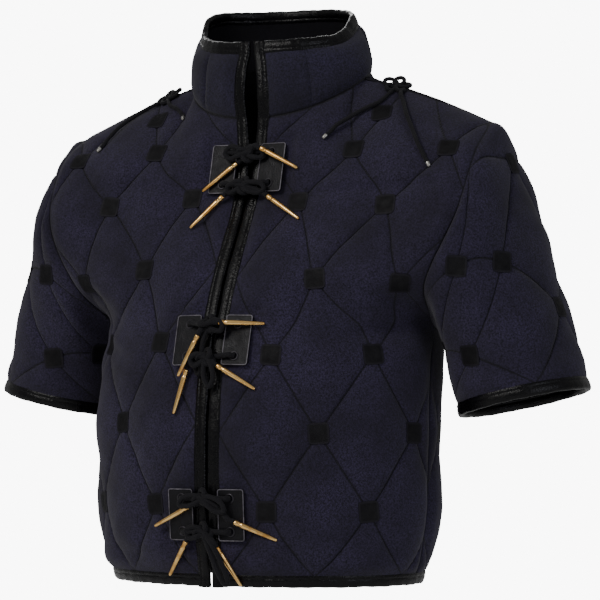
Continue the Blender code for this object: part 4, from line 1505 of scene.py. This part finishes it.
def patch_places(cloth: Cloth) -> list[tuple[Vector, Vector]]:
    """Where a piece's quilting lines cross, away from its edges.

    Args:
        cloth: The cloth piece.

    Returns:
        Points and normals.
    """
    places = []
    rows, columns = cloth.grid.shape[:2]
    for j in range(rows):
        for i in range(columns):
            at = (j * cloth.step, (i * cloth.step) % cloth.base.shape[1])
            u, v = round(float(cloth.column()[at])), round(float(cloth.quilt_row()[at]))
            crossing = u % CUT.diamond == 0 and v % CUT.diamond == 0
            if not crossing or (u + v) // CUT.diamond % 2:
                continue
            clear = float(cloth.seams()[at]) > SEAM_CLEAR and 0 < j < rows - 1
            if isinstance(cloth, Front):
                near = min(abs(float(cloth.base[at][2]) - tie) for tie in TIES)
                plated = near < PLATE_CLEAR and abs(cloth.base[at][0]) < PLATE_CLEAR
                clear = clear and i > 0 and not plated
            if clear:
                places.append(cloth.node_point(i, j))
    return places


# Lacing plates, modelled as by hand from primitives


def select_none() -> None:
    """Leave edit mode and deselect everything."""
    if bpy.context.object and bpy.context.object.mode != "OBJECT":
        bpy.ops.object.mode_set(mode="OBJECT")
    bpy.ops.object.select_all(action="DESELECT")


def pick(piece: bpy.types.Object, test: Callable[[bmesh.types.BMFace], bool]) -> None:
    """Select the faces of the piece in edit mode that pass a test.

    Args:
        piece: The piece being edited.
        test: Whether a face is selected.
    """
    bpy.ops.mesh.select_mode(type="FACE")
    bpy.ops.mesh.select_all(action="DESELECT")
    mesh = bmesh.from_edit_mesh(piece.data)
    for face in mesh.faces:
        if test(face):
            face.select_set(True)
    bmesh.update_edit_mesh(piece.data)


def moved_copy(model: bpy.types.Object, name: str, matrix: Matrix,
               finish: bpy.types.Material) -> bpy.types.Object:
    """Copy a modelled piece into place with its own mesh.

    Args:
        model: The piece to copy.
        name: The copy's name.
        matrix: Where the copy goes.
        finish: Its material.

    Returns:
        The copy, its place in its mesh.
    """
    data = model.data.copy()
    data.name = name
    data.transform(matrix)
    data.materials.clear()
    data.materials.append(finish)
    made = bpy.data.objects.new(name, data)
    bpy.context.scene.collection.objects.link(made)
    return made


@dataclass
class Eyelet:
    """A pressed metal eyelet: a rolled ring whose collar goes down into the hole."""

    radius: float = EYELET_RADIUS
    roll: float = 0.0010

    def build(self) -> bpy.types.Object:
        """Model the ring round the origin, facing +Z.

        Returns:
            The model, which is copied and then removed.
        """
        select_none()
        bpy.ops.mesh.primitive_torus_add(major_radius=self.radius + self.roll * 0.4,
                                         minor_radius=self.roll, major_segments=28,
                                         minor_segments=10)
        ring = bpy.context.object
        bpy.ops.object.mode_set(mode="EDIT")
        inner = self.radius - self.roll * 0.2
        pick(ring, lambda f: f.normal.z < -0.4
             and math.hypot(*f.calc_center_median().xy) < inner + self.roll)
        bpy.ops.transform.translate(value=(0.0, 0.0, -0.0009))
        bpy.ops.mesh.select_all(action="SELECT")
        bpy.ops.transform.resize(value=(1.0, 1.0, 0.75))
        select_none()
        return ring


@dataclass
class PlateRim:
    """The folded, pale edge that runs round a lacing plate."""

    width: float = PLATE[0]
    height: float = PLATE[1]
    bar: float = 0.0011

    def build(self) -> bpy.types.Object:
        """Model the rim round the origin, facing +Z.

        Returns:
            The model, which is copied and then removed.
        """
        select_none()
        bpy.ops.mesh.primitive_plane_add(size=1.0)
        rim = bpy.context.object
        bpy.ops.object.mode_set(mode="EDIT")
        bpy.ops.mesh.select_all(action="SELECT")
        bpy.ops.transform.resize(value=(self.width, self.height, 1.0))
        bpy.ops.mesh.bevel(offset=0.003, segments=4, affect="VERTICES")
        bpy.ops.mesh.select_all(action="SELECT")
        bpy.ops.mesh.inset(thickness=self.bar, depth=0.0)
        pick(rim, lambda f: len(f.verts) > 4)
        bpy.ops.mesh.delete(type="FACE")
        bpy.ops.mesh.select_all(action="SELECT")
        bpy.ops.mesh.extrude_region_move(TRANSFORM_OT_translate={"value": (0.0, 0.0, 0.0008)})
        bpy.ops.mesh.select_all(action="SELECT")
        bpy.ops.mesh.normals_make_consistent(inside=False)
        bpy.ops.object.mode_set(mode="OBJECT")
        soften = rim.modifiers.new("soften", "BEVEL")
        soften.width, soften.segments, soften.limit_method = 0.0003, 2, "ANGLE"
        bpy.ops.object.modifier_apply(modifier="soften")
        rim.data.shade_smooth()
        rim.data.set_sharp_from_angle(angle=math.radians(50))
        select_none()
        return rim


PLATE_PLACES: dict[tuple[int, Side], tuple[tuple[float, ...], ...]] = {
    (1, Side.LEFT): (
        (0.9996, 0.0, -0.0292, 0.0312),
        (-0.0282, 0.2534, -0.967, -0.0845),
        (0.0074, 0.9674, 0.2533, -0.1066)),
    (1, Side.RIGHT): (
        (0.9996, 0.0, 0.0295, -0.0312),
        (0.0286, 0.2397, -0.9704, -0.0836),
        (-0.0071, 0.9709, 0.2396, -0.1069)),
    (2, Side.LEFT): (
        (0.9978, -0.0, 0.0669, 0.0314),
        (0.0645, 0.2627, -0.9627, -0.1649),
        (-0.0176, 0.9649, 0.2622, -0.3033)),
    (2, Side.RIGHT): (
        (0.9975, 0.0, -0.0706, -0.0314),
        (-0.0685, 0.2411, -0.9681, -0.1655),
        (0.017, 0.9705, 0.2405, -0.3032)),
    (3, Side.LEFT): (
        (0.9973, 0.0, 0.0741, 0.0314),
        (0.0739, -0.0612, -0.9954, -0.1785),
        (0.0045, 0.9981, -0.061, -0.4972)),
    (3, Side.RIGHT): (
        (0.9981, 0.0, -0.0617, -0.0314),
        (-0.0615, -0.081, -0.9948, -0.1791),
        (-0.005, 0.9967, -0.0809, -0.4973)),
}


def make_plates(plate: bpy.types.Material, edge: bpy.types.Material,
                ring: bpy.types.Material) -> None:
    """Dress the six plates with leather, rims and eyelets.

    Args:
        plate: The plates' leather.
        edge: The rims' pale leather.
        ring: The eyelets' metal.
    """
    rim, eyelet = PlateRim().build(), Eyelet().build()
    for (tie, side), rows in PLATE_PLACES.items():
        solid = bpy.data.objects[f"lace_plate_{tie}_{side.label}"]
        for slot in solid.material_slots:
            slot.material = plate
        place = Matrix([*rows, (0.0, 0.0, 0.0, 1.0)])
        top = place @ Matrix.Translation((0.0, 0.0, PLATE[2] / 2))
        dress(moved_copy(rim, f"plate_rim_{tie}_{side.label}", top, edge), "black_leather")
        for level, rise in (("upper", EYELET_RISE), ("lower", -EYELET_RISE)):
            at = top @ Matrix.Translation((-EYELET_X * side.value, rise, 0.0004))
            name = f"eyelet_{tie}_{level}_{side.label}"
            dress(moved_copy(eyelet, name, at, ring), "black_leather")
    for model in (rim, eyelet):
        bpy.data.objects.remove(model)


# Laces, knots and metal points

LACES: dict[str, tuple[tuple[float, float, float], ...]] = {
    "lace_1_lower_right": (
        (30.0, -90.5, -124.2), (25.5, -94.9, -123.1), (18.3, -93.7, -124.0), (11.1, -93.4, -125.0),
        (3.9, -92.5, -125.5), (-2.9, -92.5, -128.0), (-9.3, -93.2, -132.9), (-14.6, -94.8, -134.8),
        (-19.0, -95.8, -133.2), (-23.7, -97.9, -138.2)),
    "lace_1_lower_left": (
        (-29.9, -89.3, -124.5), (-25.3, -94.7, -123.5), (-17.7, -95.8, -124.4),
        (-10.1, -97.7, -125.3), (-2.7, -99.2, -126.0), (4.7, -99.2, -127.6), (12.1, -98.6, -129.8),
        (19.3, -97.5, -132.3), (26.2, -96.7, -135.3), (32.6, -97.6, -139.3)),
    "lace_1_upper_right": (
        (30.0, -81.1, -88.4), (26.4, -85.7, -87.2), (20.4, -84.5, -87.6), (14.1, -84.1, -88.3),
        (7.9, -82.6, -88.5), (1.8, -81.8, -89.1), (-4.2, -81.9, -92.0), (-7.4, -82.8, -95.2),
        (-6.8, -84.8, -96.4), (-11.7, -85.9, -100.2)),
    "lace_1_upper_left": (
        (-29.9, -80.5, -88.6), (-26.4, -85.4, -87.4), (-20.1, -85.5, -87.9), (-13.6, -86.4, -88.5),
        (-7.1, -88.1, -89.4), (-0.8, -88.6, -89.7), (5.0, -89.0, -87.2), (10.5, -90.1, -83.4),
        (15.0, -92.3, -81.4), (20.6, -91.9, -84.3)),
    "lace_2_lower_right": (
        (30.3, -171.2, -320.7), (26.1, -175.9, -319.5), (18.6, -175.4, -320.4),
        (11.1, -175.4, -321.2), (3.7, -174.9, -321.7), (-3.2, -175.2, -324.0),
        (-9.7, -176.2, -328.1), (-16.4, -178.1, -329.7), (-23.9, -177.2, -328.6),
        (-25.9, -177.6, -335.1)),
    "lace_2_lower_left": (
        (-30.3, -171.4, -320.8), (-27.8, -176.1, -319.6), (-22.6, -176.3, -320.0),
        (-16.9, -177.3, -320.7), (-11.3, -179.1, -321.3), (-5.8, -181.4, -321.5),
        (-0.4, -181.7, -322.4), (4.2, -181.3, -325.3), (8.8, -181.3, -328.5),
        (13.6, -180.6, -331.3)),
    "lace_2_upper_right": (
        (30.3, -161.5, -285.0), (26.1, -166.2, -283.8), (18.7, -165.8, -284.3),
        (11.2, -166.2, -284.7), (3.7, -167.4, -284.7), (-2.8, -169.4, -288.1),
        (-5.5, -172.2, -291.9), (-5.6, -175.9, -291.6), (-5.7, -181.4, -291.4),
        (-8.8, -181.7, -297.1)),
    "lace_2_upper_left": (
        (-30.3, -162.5, -284.9), (-27.6, -167.3, -283.7), (-22.2, -170.2, -283.9),
        (-16.4, -173.8, -284.4), (-10.7, -178.3, -284.9), (-5.1, -183.5, -285.5),
        (0.5, -181.3, -285.4), (6.1, -179.9, -282.9), (8.1, -179.3, -283.3),
        (13.6, -177.2, -283.5)),
    "lace_3_lower_right": (
        (30.3, -178.8, -515.7), (26.6, -183.7, -516.0), (19.7, -183.4, -515.9),
        (12.6, -183.4, -515.7), (5.7, -182.1, -515.2), (-1.1, -181.6, -515.8),
        (-7.5, -181.9, -518.8), (-13.6, -183.0, -521.6), (-19.0, -185.4, -521.2),
        (-22.7, -183.5, -526.2)),
    "lace_3_lower_left": (
        (-30.3, -179.1, -515.8), (-26.9, -184.2, -516.2), (-20.7, -187.8, -516.1),
        (-14.1, -187.8, -515.9), (-7.6, -187.9, -515.2), (-1.2, -188.2, -515.2),
        (4.2, -188.2, -518.0), (9.0, -188.0, -522.7), (14.2, -188.6, -526.7),
        (16.8, -186.4, -532.1)),
    "lace_3_upper_right": (
        (30.3, -181.1, -478.8), (27.1, -186.0, -479.1), (21.0, -185.5, -479.0),
        (14.5, -185.5, -478.8), (8.1, -184.2, -478.3), (1.9, -183.7, -478.2),
        (-3.8, -183.7, -480.5), (-8.9, -184.5, -484.4), (-13.0, -186.2, -485.6),
        (-18.6, -185.6, -488.3)),
    "lace_3_upper_left": (
        (-30.3, -182.1, -478.9), (-26.2, -187.4, -479.3), (-18.8, -187.7, -479.1),
        (-11.4, -188.8, -478.7), (-4.0, -190.4, -478.0), (2.9, -190.4, -479.4),
        (9.7, -190.0, -482.4), (16.1, -188.5, -486.2), (21.7, -186.9, -490.7),
        (26.5, -186.2, -496.0), (31.3, -186.3, -501.6), (37.6, -184.2, -504.3)),
    "shoulder_lace_left_inner": (
        (150.0, -8.3, -16.0), (147.6, -16.1, -21.0), (145.2, -21.7, -26.1), (142.1, -27.4, -30.8),
        (137.7, -32.9, -34.7), (132.1, -38.0, -38.0), (126.3, -41.3, -41.2), (121.0, -44.9, -44.7),
        (116.2, -49.4, -48.6), (111.6, -54.6, -52.7), (107.1, -60.6, -56.9), (102.9, -65.7, -61.4),
        (98.9, -67.6, -66.2), (95.0, -71.5, -71.0)),
    "shoulder_lace_left_outer": (
        (157.0, -8.0, -18.0), (161.9, -17.9, -24.3), (166.7, -23.4, -30.5), (171.5, -29.6, -36.7),
        (176.2, -36.6, -42.7), (180.8, -43.1, -48.7), (185.5, -48.0, -54.8), (190.4, -52.8, -61.1),
        (195.5, -57.9, -67.7), (200.6, -63.2, -74.5), (205.8, -68.7, -81.6), (210.8, -71.1, -89.4),
        (215.9, -72.2, -97.7), (221.0, -73.4, -106.0)),
    "shoulder_lace_right_inner": (
        (-148.0, -8.8, -16.0), (-145.3, -13.1, -18.1), (-142.7, -16.2, -20.1),
        (-140.0, -19.2, -22.2), (-137.0, -21.9, -24.0), (-133.6, -24.3, -25.5),
        (-129.9, -26.6, -26.8), (-126.1, -29.0, -28.1), (-122.6, -30.7, -29.7),
        (-119.5, -32.1, -31.6), (-116.5, -33.9, -33.9), (-113.7, -36.5, -36.2),
        (-110.9, -37.3, -38.6), (-108.0, -42.5, -41.0)),
    "shoulder_lace_right_outer": (
        (-158.0, -7.7, -18.0), (-164.2, -11.7, -21.3), (-170.4, -13.7, -24.5),
        (-176.1, -16.5, -28.1), (-181.3, -20.2, -31.8), (-186.4, -23.5, -35.7),
        (-191.1, -27.2, -39.7), (-195.2, -31.7, -44.1), (-198.7, -36.8, -48.7),
        (-201.7, -41.0, -53.6), (-204.3, -45.3, -58.7), (-206.9, -49.7, -63.8),
        (-209.4, -51.9, -68.9), (-212.0, -56.1, -74.0)),
}
POINTS: dict[str, tuple[tuple[float, float, float], tuple[float, float, float]]] = {
    "aiglet_1_lower_right": ((-24.0, -98.0, -138.5), (-58.3, -113.3, -174.5)),
    "aiglet_1_lower_left": ((33.0, -97.7, -139.5), (76.8, -104.0, -166.9)),
    "aiglet_1_upper_right": ((-12.0, -86.0, -100.5), (-52.4, -94.9, -131.9)),
    "aiglet_1_upper_left": ((21.0, -91.9, -84.5), (66.9, -88.6, -108.7)),
    "aiglet_2_lower_right": ((-26.0, -177.7, -335.5), (-41.0, -181.0, -385.2)),
    "aiglet_2_lower_left": ((14.0, -180.5, -331.5), (58.3, -173.3, -357.7)),
    "aiglet_2_upper_right": ((-9.0, -181.7, -297.5), (-33.7, -183.8, -343.2)),
    "aiglet_2_upper_left": ((14.0, -177.0, -283.5), (62.5, -158.4, -285.1)),
    "aiglet_3_lower_right": ((-23.0, -183.4, -526.5), (-52.9, -168.7, -566.4)),
    "aiglet_3_lower_left": ((17.0, -186.2, -532.5), (38.4, -167.9, -576.2)),
    "aiglet_3_upper_right": ((-19.0, -185.5, -488.5), (-65.6, -180.1, -510.9)),
    "aiglet_3_upper_left": ((38.0, -184.1, -504.5), (83.5, -168.7, -524.4)),
    "shoulder_tip_left_inner": ((94.8, -71.7, -71.2), (91.6, -74.9, -75.1)),
    "shoulder_tip_left_outer": ((221.2, -73.5, -106.3), (224.3, -74.2, -111.3)),
    "shoulder_tip_right_inner": ((-107.9, -42.8, -41.1), (-105.2, -47.7, -43.3)),
    "shoulder_tip_right_outer": ((-212.1, -56.3, -74.2), (-214.3, -59.9, -78.5)),
}


def carried_frames(line: np.ndarray, wrap: bool) -> tuple[np.ndarray, np.ndarray]:
    """Two directions across a line, carried along it without twisting.

    Args:
        line: The line's points.
        wrap: Whether it is a loop.

    Returns:
        The first and the second direction at each point.
    """
    tangent = unit(tangents(line, wrap))
    start = np.array([0.0, 0.0, 1.0]) if abs(tangent[0][2]) < 0.8 else np.array([1.0, 0.0, 0.0])
    across = [unit(np.cross(tangent[0], start))]
    for way in tangent[1:]:
        across.append(unit(across[-1] - way * float(across[-1] @ way)))
    first = np.array(across)
    second = np.cross(tangent, first)
    if wrap:
        end = unit(first[-1] - tangent[0] * float(first[-1] @ tangent[0]))
        twist = math.atan2(float(end @ second[0]), float(end @ first[0]))
        turn = -twist * np.arange(len(line)) / len(line)
        first, second = (first * np.cos(turn)[:, None] + second * np.sin(turn)[:, None],
                         second * np.cos(turn)[:, None] - first * np.sin(turn)[:, None])
    return first, second


def tube(name: str, line: np.ndarray, radius: float, finish: bpy.types.Material,
         wrap: bool = False, solid: str = "") -> bpy.types.Object:
    """Sweep a soft round cord along a line.

    Args:
        name: The piece's name.
        line: The cord's middle.
        radius: Its radius.
        finish: Its material.
        wrap: Whether the line is a loop.
        solid: The solid that it takes the place of, if any.

    Returns:
        The piece.
    """
    turns = np.arange(CORD_SIDES) * 2 * math.pi / CORD_SIDES

    def outline(ring: int) -> np.ndarray:
        """The cord's slightly uneven round."""
        size = radius * (1 + 0.035 * math.sin(ring * 0.7) + 0.025 * math.sin(ring * 1.9 + 1.0))
        return np.stack([np.cos(turns), np.sin(turns)], axis=1) * size

    first, second = carried_frames(line, wrap)
    return dress(sweep(name, line, first, second, outline, wrap, finish), "black_lace", solid)


def smooth_line(points: Sequence[Sequence[float]], count: int, wrap: bool = False) -> np.ndarray:
    """A fine smooth line through points."""
    return refine(np.array(points, dtype=float)[:, None], count, 0, wrap)[:, 0]


@dataclass
class Point:
    """A metal point pressed on a lace's end, modelled once and copied."""

    length: float
    rings: tuple[tuple[float, float], ...]
    model: bpy.types.Object = field(init=False)

    def __post_init__(self) -> None:
        """Model the point from the origin along +Z, as a tube that is cut and shaped by rings."""
        select_none()
        bpy.ops.mesh.primitive_cylinder_add(vertices=20, radius=0.001, depth=1.0,
                                            location=(0.0, 0.0, 0.5), end_fill_type="NGON")
        self.model = bpy.context.object
        bpy.ops.object.transform_apply(location=True)
        bpy.ops.object.mode_set(mode="EDIT")
        pick(self.model, lambda f: f.normal.z > 0.9)
        for place, radius in self.rings:
            bpy.ops.mesh.select_all(action="SELECT")
            bpy.ops.mesh.bisect(plane_co=(0.0, 0.0, place), plane_no=(0.0, 0.0, 1.0))
        bpy.ops.object.mode_set(mode="OBJECT")
        places = [0.0, *(place for place, _ in self.rings), 1.0]
        sizes = [self.rings[0][1], *(radius for _, radius in self.rings), self.rings[-1][1] * 0.6]
        for vertex in self.model.data.vertices:
            radius = float(np.interp(vertex.co.z, places, sizes))
            flat = Vector(vertex.co.xy).normalized() * radius
            vertex.co = Vector((flat.x, flat.y, vertex.co.z * self.length))
        soften = self.model.modifiers.new("soften", "BEVEL")
        soften.width, soften.segments, soften.limit_method = 0.00022, 2, "ANGLE"
        soften.angle_limit = math.radians(40)
        select_none()
        self.model.select_set(True)
        bpy.context.view_layer.objects.active = self.model
        bpy.ops.object.modifier_apply(modifier="soften")
        self.model.data.shade_smooth()
        self.model.data.set_sharp_from_angle(angle=math.radians(60))

    def copy(self, name: str, slot: str, finish: bpy.types.Material) -> bpy.types.Object:
        """Copy the point to where its solid lies.

        Args:
            name: The solid's name.
            slot: A material slot's name, which is only logged.
            finish: The metal.

        Returns:
            The copy.
        """
        start, end = (Vector(p) * MM for p in POINTS[name])
        turn = (end - start).to_track_quat("Z", "Y").to_matrix().to_4x4()
        made = moved_copy(self.model, f"{name}_metal", Matrix.Translation(start) @ turn, finish)
        return dress(made, slot, name)


AIGLET_RINGS = ((0.004, 0.0026), (0.02, 0.0030), (0.10, 0.0031), (0.125, 0.0024), (0.145, 0.0024),
                (0.165, 0.0030), (0.20, 0.0031), (0.55, 0.0027), (0.85, 0.0021), (0.96, 0.0018),
                (0.99, 0.0014))
TIP_RINGS = ((0.03, 0.0024), (0.2, 0.0026), (0.35, 0.0023), (0.6, 0.0024), (0.9, 0.0019))
# Where each lace's knot, its loops and its bights lie, seen from in front, in millimetres from
# the knot: across towards the wearer's left, up, and how far they stand out from the lace.
LOOPS: dict[tuple[int, str], tuple[tuple[tuple[float, float, float], ...], ...]] = {
    (1, "upper"): (
        ((0, 0, 5), (-9, 6, 7), (-20, 8, 6), (-27, 1, 5), (-21, -6, 6), (-10, -3, 8)),
        ((0, 0, 5), (9, 7, 8), (20, 4, 7), (22, -4, 6), (12, -5, 8))),
    (1, "lower"): (
        ((0, 0, 5), (-9, 2, 7), (-17, -1, 7), (-16, -8, 6), (-7, -6, 8)),
        ((0, 0, 5), (10, 3, 8), (24, 2, 7), (29, -5, 6), (20, -9, 6), (8, -6, 8))),
    (2, "upper"): (
        ((0, 0, 5), (-8, -8, 8), (-15, -24, 7), (-17, -44, 6), (-12, -56, 6), (-7, -44, 8),
         (-5, -20, 9)),
        ((0, 0, 5), (9, 5, 8), (18, 1, 7), (16, -7, 6), (7, -6, 8))),
    (2, "lower"): (
        ((0, 0, 5), (-10, 4, 8), (-19, -1, 7), (-15, -9, 7), (-6, -6, 8)),
        ((0, 0, 5), (8, -8, 8), (10, -22, 7), (5, -32, 7), (-1, -22, 8), (-1, -8, 8))),
    (3, "upper"): (
        ((0, 0, 5), (-10, 3, 8), (-24, 0, 7), (-28, -8, 6), (-17, -9, 7), (-6, -5, 8)),
        ((0, 0, 5), (10, 2, 8), (24, -4, 7), (28, -14, 6), (17, -14, 7), (6, -6, 8))),
    (3, "lower"): (
        ((0, 0, 5), (-9, 5, 8), (-20, 2, 7), (-18, -7, 6), (-7, -6, 8)),
        ((0, 0, 5), (8, -8, 8), (20, -26, 7), (30, -48, 6), (31, -58, 6), (24, -52, 7),
         (10, -22, 8))),
}


@dataclass
class Lacing:
    """All the laces, each with its knot, its loops and its metal point."""

    finish: bpy.types.Material
    brass: bpy.types.Material
    tin: bpy.types.Material
    aiglet_length: float = 0.052
    tip_length: float = 0.006
    knot_half: float = 0.0105    # half a knot's width
    knot_rise: float = 0.0045    # from the crossing laces out to the knot's middle
    knot_turn: float = 0.35      # how much more a closure's knots are turned than those above
    loop_radius: float = 0.0029

    def knot(self, name: str, centre: np.ndarray, tilt: float) -> bpy.types.Object:
        """Tie a tight overhand knot.

        Args:
            name: The piece's name.
            centre: Its middle.
            tilt: How far it is turned, seen from in front.

        Returns:
            The piece.
        """
        t = np.linspace(0.0, 2 * math.pi, 48, endpoint=False)
        x, z = np.sin(t) + 1.9 * np.sin(2 * t), np.cos(t) - 1.9 * np.cos(2 * t)
        x, z = x * math.cos(tilt) - z * math.sin(tilt), x * math.sin(tilt) + z * math.cos(tilt)
        line = np.stack([x * self.knot_half / 2.9, -np.sin(3 * t) * LACE_RADIUS * 0.95,
                         z * self.knot_half / 3.3], axis=1)
        return tube(name, centre + line, LACE_RADIUS, self.finish, wrap=True)

    def declare(self, name: str, radius: float) -> None:
        """Make one lace along its solid's route and say what it is.

        Args:
            name: The lace's name.
            radius: Its radius.
        """
        line = smooth_line(LACES[name], 4) * MM
        made = tube(f"{name}_cord", line, radius, self.finish, solid=name)

    def closure(self) -> None:
        """Lace up the fronts: three ties, each with two knots and four ends."""
        aiglet = Point(self.aiglet_length, AIGLET_RINGS)
        for tie in (1, 2, 3):
            for level in ("upper", "lower"):
                height = TIES[tie - 1] + (EYELET_RISE if level == "upper" else -EYELET_RISE)
                names = [f"{tie}_{level}_{side.label}" for side in (Side.RIGHT, Side.LEFT)]
                middle = min(LACES[f"lace_{names[0]}"], key=lambda p: abs(p[0]))[1] * MM
                centre = np.array([0.0, middle - self.knot_rise, height])
                knot = self.knot(f"knot_{tie}_{level}", centre, self.knot_turn * tie)
                for n, shape in enumerate(LOOPS[tie, level]):
                    points = [(x * MM, middle - out * MM, height + z * MM) for x, z, out in shape]
                    tube(f"loop_{tie}_{level}_{n + 1}", smooth_line(points, 7, True),
                                      self.loop_radius, self.finish, wrap=True)
                for n, end in enumerate(names):
                    metal = aiglet.copy(f"aiglet_{end}", "brass", self.brass)
                    self.declare(f"lace_{end}", LACE_RADIUS)
        bpy.data.objects.remove(aiglet.model)

    def shoulders(self) -> None:
        """Lay the laces of the two shoulder points."""
        tip = Point(self.tip_length, TIP_RINGS)
        for side in Side:
            knots = [self.rosette(f"shoulder_knot_{side.label}", side)]
            for end in ("inner", "outer"):
                metal = tip.copy(f"shoulder_tip_{side.label}_{end}", "tinned_tip", self.tin)
                self.declare(f"shoulder_lace_{side.label}_{end}", SHOULDER_RADIUS)
                knots = []
        bpy.data.objects.remove(tip.model)

    def rosette(self, name: str, side: Side) -> bpy.types.Object:
        """Tie a star-like knot of small loops on a shoulder.

        Args:
            name: The piece's name.
            side: The wearer's side.

        Returns:
            The piece.
        """
        start = np.array(LACES[f"shoulder_lace_{side.label}_inner"][0]) * MM
        t = np.linspace(0.0, 2 * math.pi, 140, endpoint=False)
        reach = 0.0085 + 0.0068 * np.cos(5 * t) + 0.0015 * np.sin(2 * t + 1.0)
        out = np.array([0.32 * side.value, -0.52, 0.79])
        right = unit(np.cross(out, np.array([0.0, 1.0, 0.0])))
        up = np.cross(right, out)
        turn, wave = 2 * t, 0.0012 * np.sin(5 * t + 0.6)
        line = (start + np.array([0.0, 0.006, 0.004]) + out * wave[:, None]
                + right * (reach * np.cos(turn))[:, None] + up * (reach * np.sin(turn))[:, None])
        return tube(name, line, SHOULDER_RADIUS, self.finish, wrap=True)


# The studio

DISTANCE = 3.6
VIEW_TURN = math.radians(28.0)
VIEW_HEIGHT = -0.36
PIXELS_TO_METRE = 861.0      # at the camera's distance, in a frame 600 pixels wide
FRAME_WIDTH = 600.0
SENSOR = 36.0
LENS_SHIFT = (0.030, 0.152)
FLOOR_HEIGHT = -0.80
FLOOR_SIZE = 4.0
SURROUND_LIGHT = 0.30
SURROUND_SEEN = 9.0
AIM = Vector((0.0, 0.0, -0.26))


def make_camera() -> None:
    """Stand the camera where the photograph's was: level, on the wearer's left of the middle."""
    data = bpy.data.cameras.new("camera")
    data.sensor_width = SENSOR
    data.lens = PIXELS_TO_METRE * DISTANCE / FRAME_WIDTH * SENSOR
    data.shift_x, data.shift_y = LENS_SHIFT
    camera = bpy.data.objects.new("camera", data)
    camera.location = (math.sin(VIEW_TURN) * DISTANCE, -math.cos(VIEW_TURN) * DISTANCE,
                       VIEW_HEIGHT)
    camera.rotation_euler = (math.pi / 2, 0.0, VIEW_TURN)
    bpy.context.scene.collection.objects.link(camera)
    bpy.context.scene.camera = camera


@dataclass(frozen=True)
class SoftBox:
    """One area light aimed at the garment."""

    name: str
    place: tuple[float, float, float]
    size: tuple[float, float]
    power: float
    colour: str = "ffffff"

    def build(self) -> None:
        """Hang the light."""
        data = bpy.data.lights.new(self.name, "AREA")
        data.shape = "RECTANGLE"
        data.size, data.size_y = self.size
        data.energy = self.power
        data.color = linear(self.colour)[:3]
        light = bpy.data.objects.new(self.name, data)
        light.location = self.place
        light.rotation_euler = (AIM - light.location).to_track_quat("-Z", "Y").to_euler()
        bpy.context.scene.collection.objects.link(light)


def make_studio() -> None:
    """Put up a white surround, a pale floor and three soft lights."""
    world = bpy.data.worlds.new("surround")
    world.use_nodes = True
    tree = world.node_tree
    seen = node(tree, "LightPath").outputs["Is Camera Ray"]
    strength = node(tree, "MapRange", {0: seen, 3: SURROUND_LIGHT, 4: SURROUND_SEEN}).outputs[0]
    sky = tree.nodes["Background"]
    sky.inputs["Color"].default_value = linear("ffffff")
    tree.links.new(strength, sky.inputs["Strength"])
    bpy.context.scene.world = world
    select_none()
    bpy.ops.mesh.primitive_plane_add(size=FLOOR_SIZE, location=(0.0, 0.0, FLOOR_HEIGHT))
    floor = bpy.context.object
    floor.name = "floor"
    floor.data.materials.append(Finish("floor_paper", "f7f7f7", "f7f7f7", 0.9).start()[0])
    floor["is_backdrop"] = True
    SoftBox("key", (-0.6, -2.6, 1.5), (1.1, 1.1), 46.0, "fffdfa").build()
    SoftBox("side", (2.9, -1.6, 0.5), (0.9, 1.6), 19.0, "eef1ff").build()
    SoftBox("back", (-1.6, 2.2, 1.4), (1.4, 1.2), 18.0).build()


def corners() -> list[list[float]]:
    """The lowest and highest corner of what shows, as plain numbers."""
    return [[float(value) for value in corner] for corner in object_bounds()]


# Where the leather beneath each shoulder knot lies, on the wearer's left.
SHOULDER_PATCH = (0.148, -0.045, -0.036)


def make_cloth() -> dict[str, Cloth]:
    """Make the six pieces of cloth and their leather patches.

    Returns:
        The cloth pieces by name.
    """
    canvas, lining, collar_canvas = (finish.build() for finish in (CANVAS, LINING, COLLAR_CANVAS))
    pieces: list[Cloth] = [Back("back", CUT.back_grid(), -1, creases=BACK_CREASES)]
    for side in Side:
        pieces += [Front(f"front_{side.label}", CUT.front_grid(side), side.value,
                         creases=FRONT_CREASES),
                   Sleeve(f"sleeve_{side.label}", CUT.sleeve_grid(side), side.value, wrap=True)]
    pieces.append(Collar("collar", CUT.collar_grid(), -1, step=16))
    cloths = {cloth.solid: cloth for cloth in pieces}
    patches, leather = Patches(), PATCH_LEATHER.build()
    for name, cloth in cloths.items():
        made = cloth.build(collar_canvas if name == "collar" else canvas, lining)
        if name != "collar":
            places = patch_places(cloth)
            if isinstance(cloth, Front):
                places.append(cloth.nearest(SHOULDER_PATCH))
            patches.build(f"{name}_patches", made, places, leather)
    return cloths


def main() -> None:
    """Load the frame and dress the solids, piece by piece."""
    logging.basicConfig(level=logging.INFO)
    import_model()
    make_camera()
    lacing = Lacing(LACE.build(), BRASS.build(), TIN.build())
    lacing.closure()
    lacing.shoulders()
    cloths = make_cloth()
    make_bindings(cloths, EDGE_LEATHER.build())
    make_plates(PLATE_LEATHER.build(), PALE_RIM.build(), BLACKED.build())
    make_studio()


if __name__ == "__main__":
    main()
